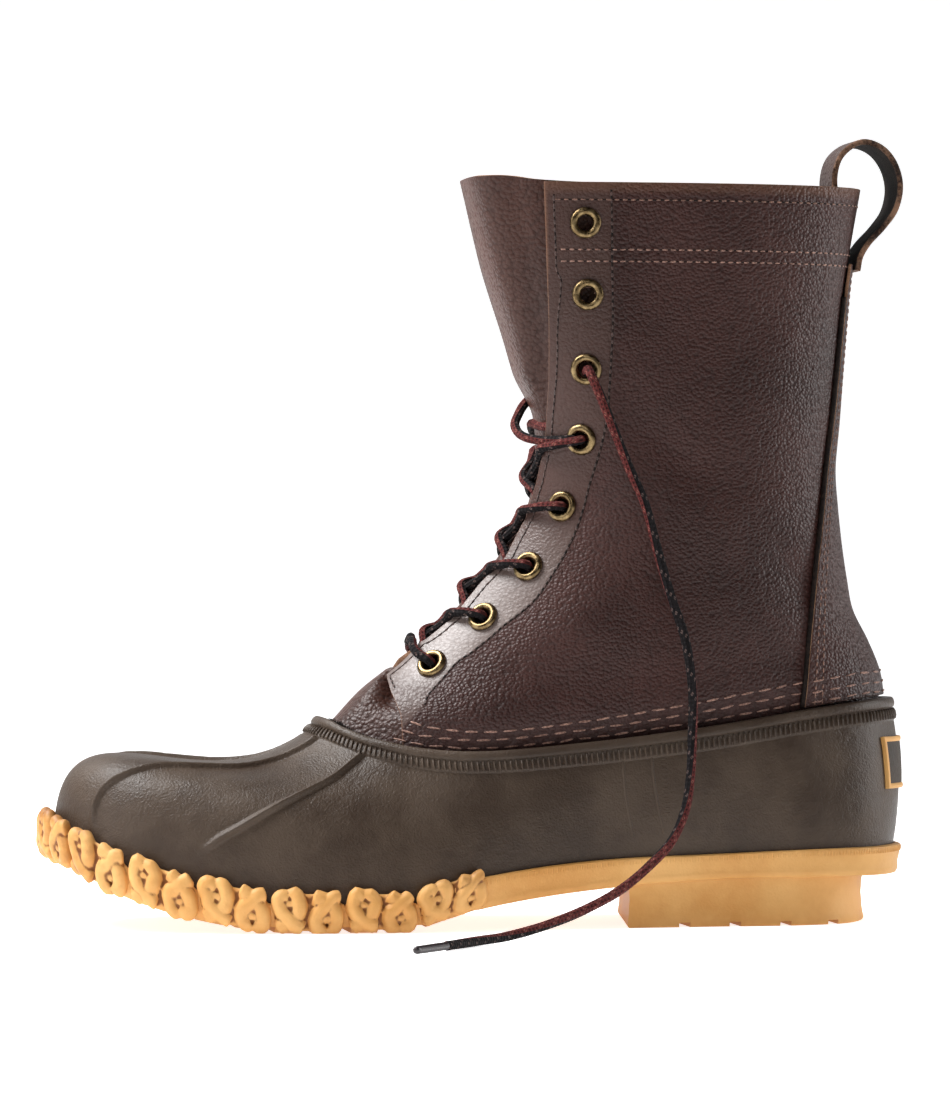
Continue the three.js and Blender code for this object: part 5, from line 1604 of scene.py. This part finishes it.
def lay_lace(name, ways, replaced):
    parts = []
    for way in ways:
        path = spline(way, step=0.7)
        parts.append(rope(path, lace_radius, sides=lace_sides, twist=0.006, braid=0.045,
                          start=70 + len(parts) * 7.3))
    points, faces, pairs = join_parts(parts)
    piece = mesh_piece(name, points, faces, (braid,))
    lay_pattern(piece, pairs)
    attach(piece, "root")
    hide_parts(replaced)


for k in range(4):
    crossing = "lace_crossing_%d" % (k + 1)
    lay_lace(crossing + "_braid", [strand_points(k + 1, k, -1), strand_points(k + 1, k, 1)], crossing)
near_six, far_six = eyelets[-1, 5], eyelets[1, 5]
near_five, far_five = eyelets[-1, 4], eyelets[1, 4]
slack = [far_six[2] + far_six[3] * 1.2, far_six[2] + far_six[3] * 3.1, (-64.0, 36.0, 192.9),
         (-66.4, 28, 191.4), (-67.6, 20, 188.4), (-71.0, 14, 184.8), (-75.2, 9, 181.2), (-78.2, 3, 177.6),
         (-80.4, -3, 173.9), (-79.8, -9, 170.7),
         (-77.4, -14, 169.0), (-73.4, -19, 168.2), (-68.5, -24.5, 168.2), (-65.0, -28.0, 168.4),
         near_five[2] + near_five[3] * back_lift]
tight = [far_five[2] + far_five[3] * back_lift, (-66.0, 28.5, 169.5), (-70.0, 20, 172), (-72.6, 8, 174.6),
         (-71.6, -6, 173.4), (-69.5, -16, 173.4), (-64.4, -24.5, 179.0), (-61.2, -29.0, 186.5),
         near_six[2] + near_six[3] * back_lift]
lay_lace("lace_crossing_5_braid", [slack, tight], "lace_crossing_5")
bar = []
for side in (-1, 1):
    t, w, centre, normal = eyelets[side, 0]
    edge = float(quarter_edge(w, side))
    half_way = [centre + normal * back_lift, centre + normal * -1.2, centre + normal * 1.9]
    reach = abs(((t + 0.5) % 1) - 0.5)
    for up, share, lift in ((0.05, 0.6, ring_lift), (0.16, 0.25, 2.6), (0.26, 0.0, 2.0)):
        half_way.append(shaft_at(-side * (edge + (reach - edge) * share), w + up, lift))
    half_way.append(shaft_at(-side * edge * 0.6, w + 0.3, 1.4))
    bar.append(half_way)
bar_middle = shaft_at(0.0, eyelets[-1, 0][1] + 0.28, 0.9)
lay_lace("lace_bar_braid", [bar[0] + [bar_middle] + bar[1][::-1]], "lace_bar")

# Stitches: short bars of waxed thread in rows, with a thin near-black rope sunk under the fine rows as
# painted shade of their grooves
# Pale pinkish thread holds the leather to the rubber and the cuff, and dark thread the rest.
def stitch_model():
    bpy.ops.mesh.primitive_uv_sphere_add(segments=8, ring_count=6, radius=0.5)
    for v in bpy.context.object.data.vertices:
        v.co.x = math.copysign(min(0.5, abs(v.co.x) ** 0.75 * 0.5 ** 0.25), v.co.x)


stitch_unit = unit_mesh(stitch_model)


def thread_finish(name, dark, light):
    material, tree = finish_tree(name)
    place = own_place(tree)
    ply = noise(tree, place, 1500, 3)
    tone = blend_colour(tree, between(tree, ply, 0.35, 0.65), dark, light)
    relief = bump(tree, ply, 0.5, 0.0002)
    surface(tree, Base_Color=tone, Roughness=0.7, Normal=relief, Sheen_Weight=0.2)
    return material


pale_thread = thread_finish("pale_thread", (0.13, 0.058, 0.04, 1), (0.36, 0.2, 0.15, 1))
dark_thread = thread_finish("dark_thread", (0.022, 0.011, 0.009, 1), (0.08, 0.038, 0.03, 1))
tan_thread = thread_finish("tan_thread", (0.1, 0.045, 0.03, 1), (0.26, 0.13, 0.09, 1))
rng = np.random.default_rng(21)
lift_tree = BVHTree.FromPolygons([tuple(v.co) for v in upper.data.vertices],
                                 [tuple(p.vertices) for p in upper.data.polygons])


def on_leather(points, normals):
    """The same points, moved along their normals to the creased leather's face."""
    seated = []
    for p, n in zip(points, normals):
        start = Vector((p + n * 5) * MM)
        hit = lift_tree.ray_cast(start, Vector(-n), 0.012)
        seated.append(np.array(hit[0]) / MM if hit[0] is not None else p)
    return np.array(seated)


def sew(t, w, pitch, length, wide, tall, spots, offset=0.0, skew=0.0, seat=True):
    """Places stitches along a line on the leather, given by t and w from start to end."""
    path = shaft_point(t, w)
    normals = normal_of(shaft_point, t, w, top_row)
    run = run_along(path)
    count = int(run[-1] / pitch)
    places = (np.arange(count) + 0.5) * run[-1] / count
    middles = np.stack([np.interp(places, run, path[:, a]) for a in range(3)], axis=1)
    outs = np.stack([np.interp(places, run, normals[:, a]) for a in range(3)], axis=1)
    outs /= np.linalg.norm(outs, axis=1)[:, None]
    along = np.stack([np.interp(places, run, np.gradient(path, axis=0)[:, a]) for a in range(3)], axis=1)
    along /= np.linalg.norm(along, axis=1)[:, None]
    if seat:
        middles = on_leather(middles, outs)
    for p, a, n in zip(middles, along, outs):
        across = np.cross(n, a)
        a = a + across * (skew + rng.normal(0, 0.05))
        a /= np.linalg.norm(a)
        size = (length * rng.uniform(0.88, 1.08), wide * rng.uniform(0.85, 1.12), tall)
        spots.append((p + n * (offset + 0.02), (a, np.cross(n, a), n), size))


# Painted shade: a thin near-black rope sunk just under the leather along a seam, in place of the shade in its
# groove.
def groove_shade_line(t, w, parts, radius=0.3):
    path = shaft_point(t, w)
    normals = normal_of(shaft_point, t, w, top_row)
    path = on_leather(path, normals) - normals * 0.16
    parts.append(rope(path, radius, sides=6))


stitch_set_back = 3.2
pale_spots, dark_spots, tan_spots, grooves = [], [], [], []
for side in (-1, 1):
    w_line = np.linspace(2.35, 11.85, 240)
    t_line = edge_in(w_line, side, stitch_set_back)
    sew(-side * t_line, w_line, 2.7, 1.9, 0.8, 0.6, dark_spots, 0.05)
    groove_shade_line(-side * t_line, w_line, grooves, 0.34)
    line = stay_seam[side]
    sew(-side * line[:, 0] / 100, line[:, 1], 2.55, 1.75, 0.8, 0.6, dark_spots, 0.05)
    groove_shade_line(-side * line[:, 0] / 100, line[:, 1], grooves, 0.44)
    t_line = np.linspace(float(edge_in(np.array([11.75]), side, stitch_set_back)[0]), 0.497, 260)
    sew(-side * t_line, np.full(260, 11.79), 2.9, 2.0, 0.62, 0.5, tan_spots, 0.0)
    groove_shade_line(-side * t_line, np.full(260, 11.79), grooves, 0.3)
    for w in (11.2, 11.06):
        t_line = np.linspace(float(edge_in(np.array([w]), side, 4.2)[0]), 0.497, 260)
        sew(-side * t_line, np.full(260, w), 2.9, 2.1, 0.66, 0.55, pale_spots, 0.0)
        groove_shade_line(-side * t_line, np.full(260, w), grooves, 0.26)
    for front, back in ((14.0, 10.2), (9.6, 6.6), (5.4, 3.0)):
        t_line = np.linspace(float(quarter_edge(np.array([1.6]), side)[0]) + 0.004, 0.499, 400)
        rise = np.interp(t_line, (0.1, 0.3, 0.5), (front, back, back))
        low, middle, high = (shaft_point(-side * t_line, row) for row in (1.0, 2.0, 3.0))
        tall, next_tall = np.linalg.norm(middle - low, axis=1), np.linalg.norm(high - middle, axis=1)
        w_line = np.where(rise < tall, 1 + rise / tall, 2 + (rise - tall) / next_tall)
        on_strip = t_line > np.interp(w_line, strip_rows, strip_edge[side]) + 0.001
        for part in (~on_strip, on_strip):
            if part.sum() > 8:
                lifted = backstay_gap + backstay_thickness if part is on_strip and on_strip[-1] else 0
                sew(-side * t_line[part], w_line[part], 6.4, 4.9, 0.8, 0.75, pale_spots, lifted + 0.05, 0.02,
                    seat=lifted == 0)
for side in (-1, 1):
    for inset in (0.0052, 0.0098):
        t_line = strip_edge[side][:-1] + inset
        sew(-side * t_line, strip_rows[:-1], 2.6, 1.8, 0.6, 0.5, tan_spots,
            backstay_gap + backstay_thickness, 0, False)
for name, spots, thread in (("pale_stitches", pale_spots, pale_thread),
                            ("dark_stitches", dark_spots, dark_thread),
                            ("tan_stitches", tan_spots, tan_thread)):
    points, faces = placed(stitch_unit, spots)
    piece = mesh_piece(name, points, faces, (thread,))
    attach(piece, "root")
points, faces, _ = join_parts(grooves)
seam_groove_shades = mesh_piece("seam_groove_shades", points, faces, (black_edge_and_painted_shade,))
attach(seam_groove_shades, "root")

# Cut edge of the leather at the rim: a thin black frayed fringe that shows above the rubber bead
fringe = []
for side in (-1, 1):
    t_line = np.linspace(0.02, 0.46, 600)
    count = len(t_line)
    bases = shaft_at(-side * t_line, np.full(count, 1.0), np.full(count, -0.5))
    reach = 1 + rng.uniform(0.02, 0.15, count)
    tips = shaft_at(-side * (t_line + rng.normal(0, 0.0009, count)), reach, rng.uniform(0.1, 0.9, count))
    for base, tip in zip(bases, tips):
        along = tip - base
        size = float(np.linalg.norm(along))
        along /= size
        out = np.cross(along, (0, 0, 1.0))
        out /= max(1e-6, float(np.linalg.norm(out)))
        fringe.append(((base + tip) / 2, (along, out, np.cross(along, out)), (size * 1.1, 0.22, 0.22)))
points, faces = placed((rib_points, rib_faces), fringe)
frayed = mesh_piece("frayed_edge", points, faces, (black_edge_and_painted_shade,))
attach(frayed, "root")
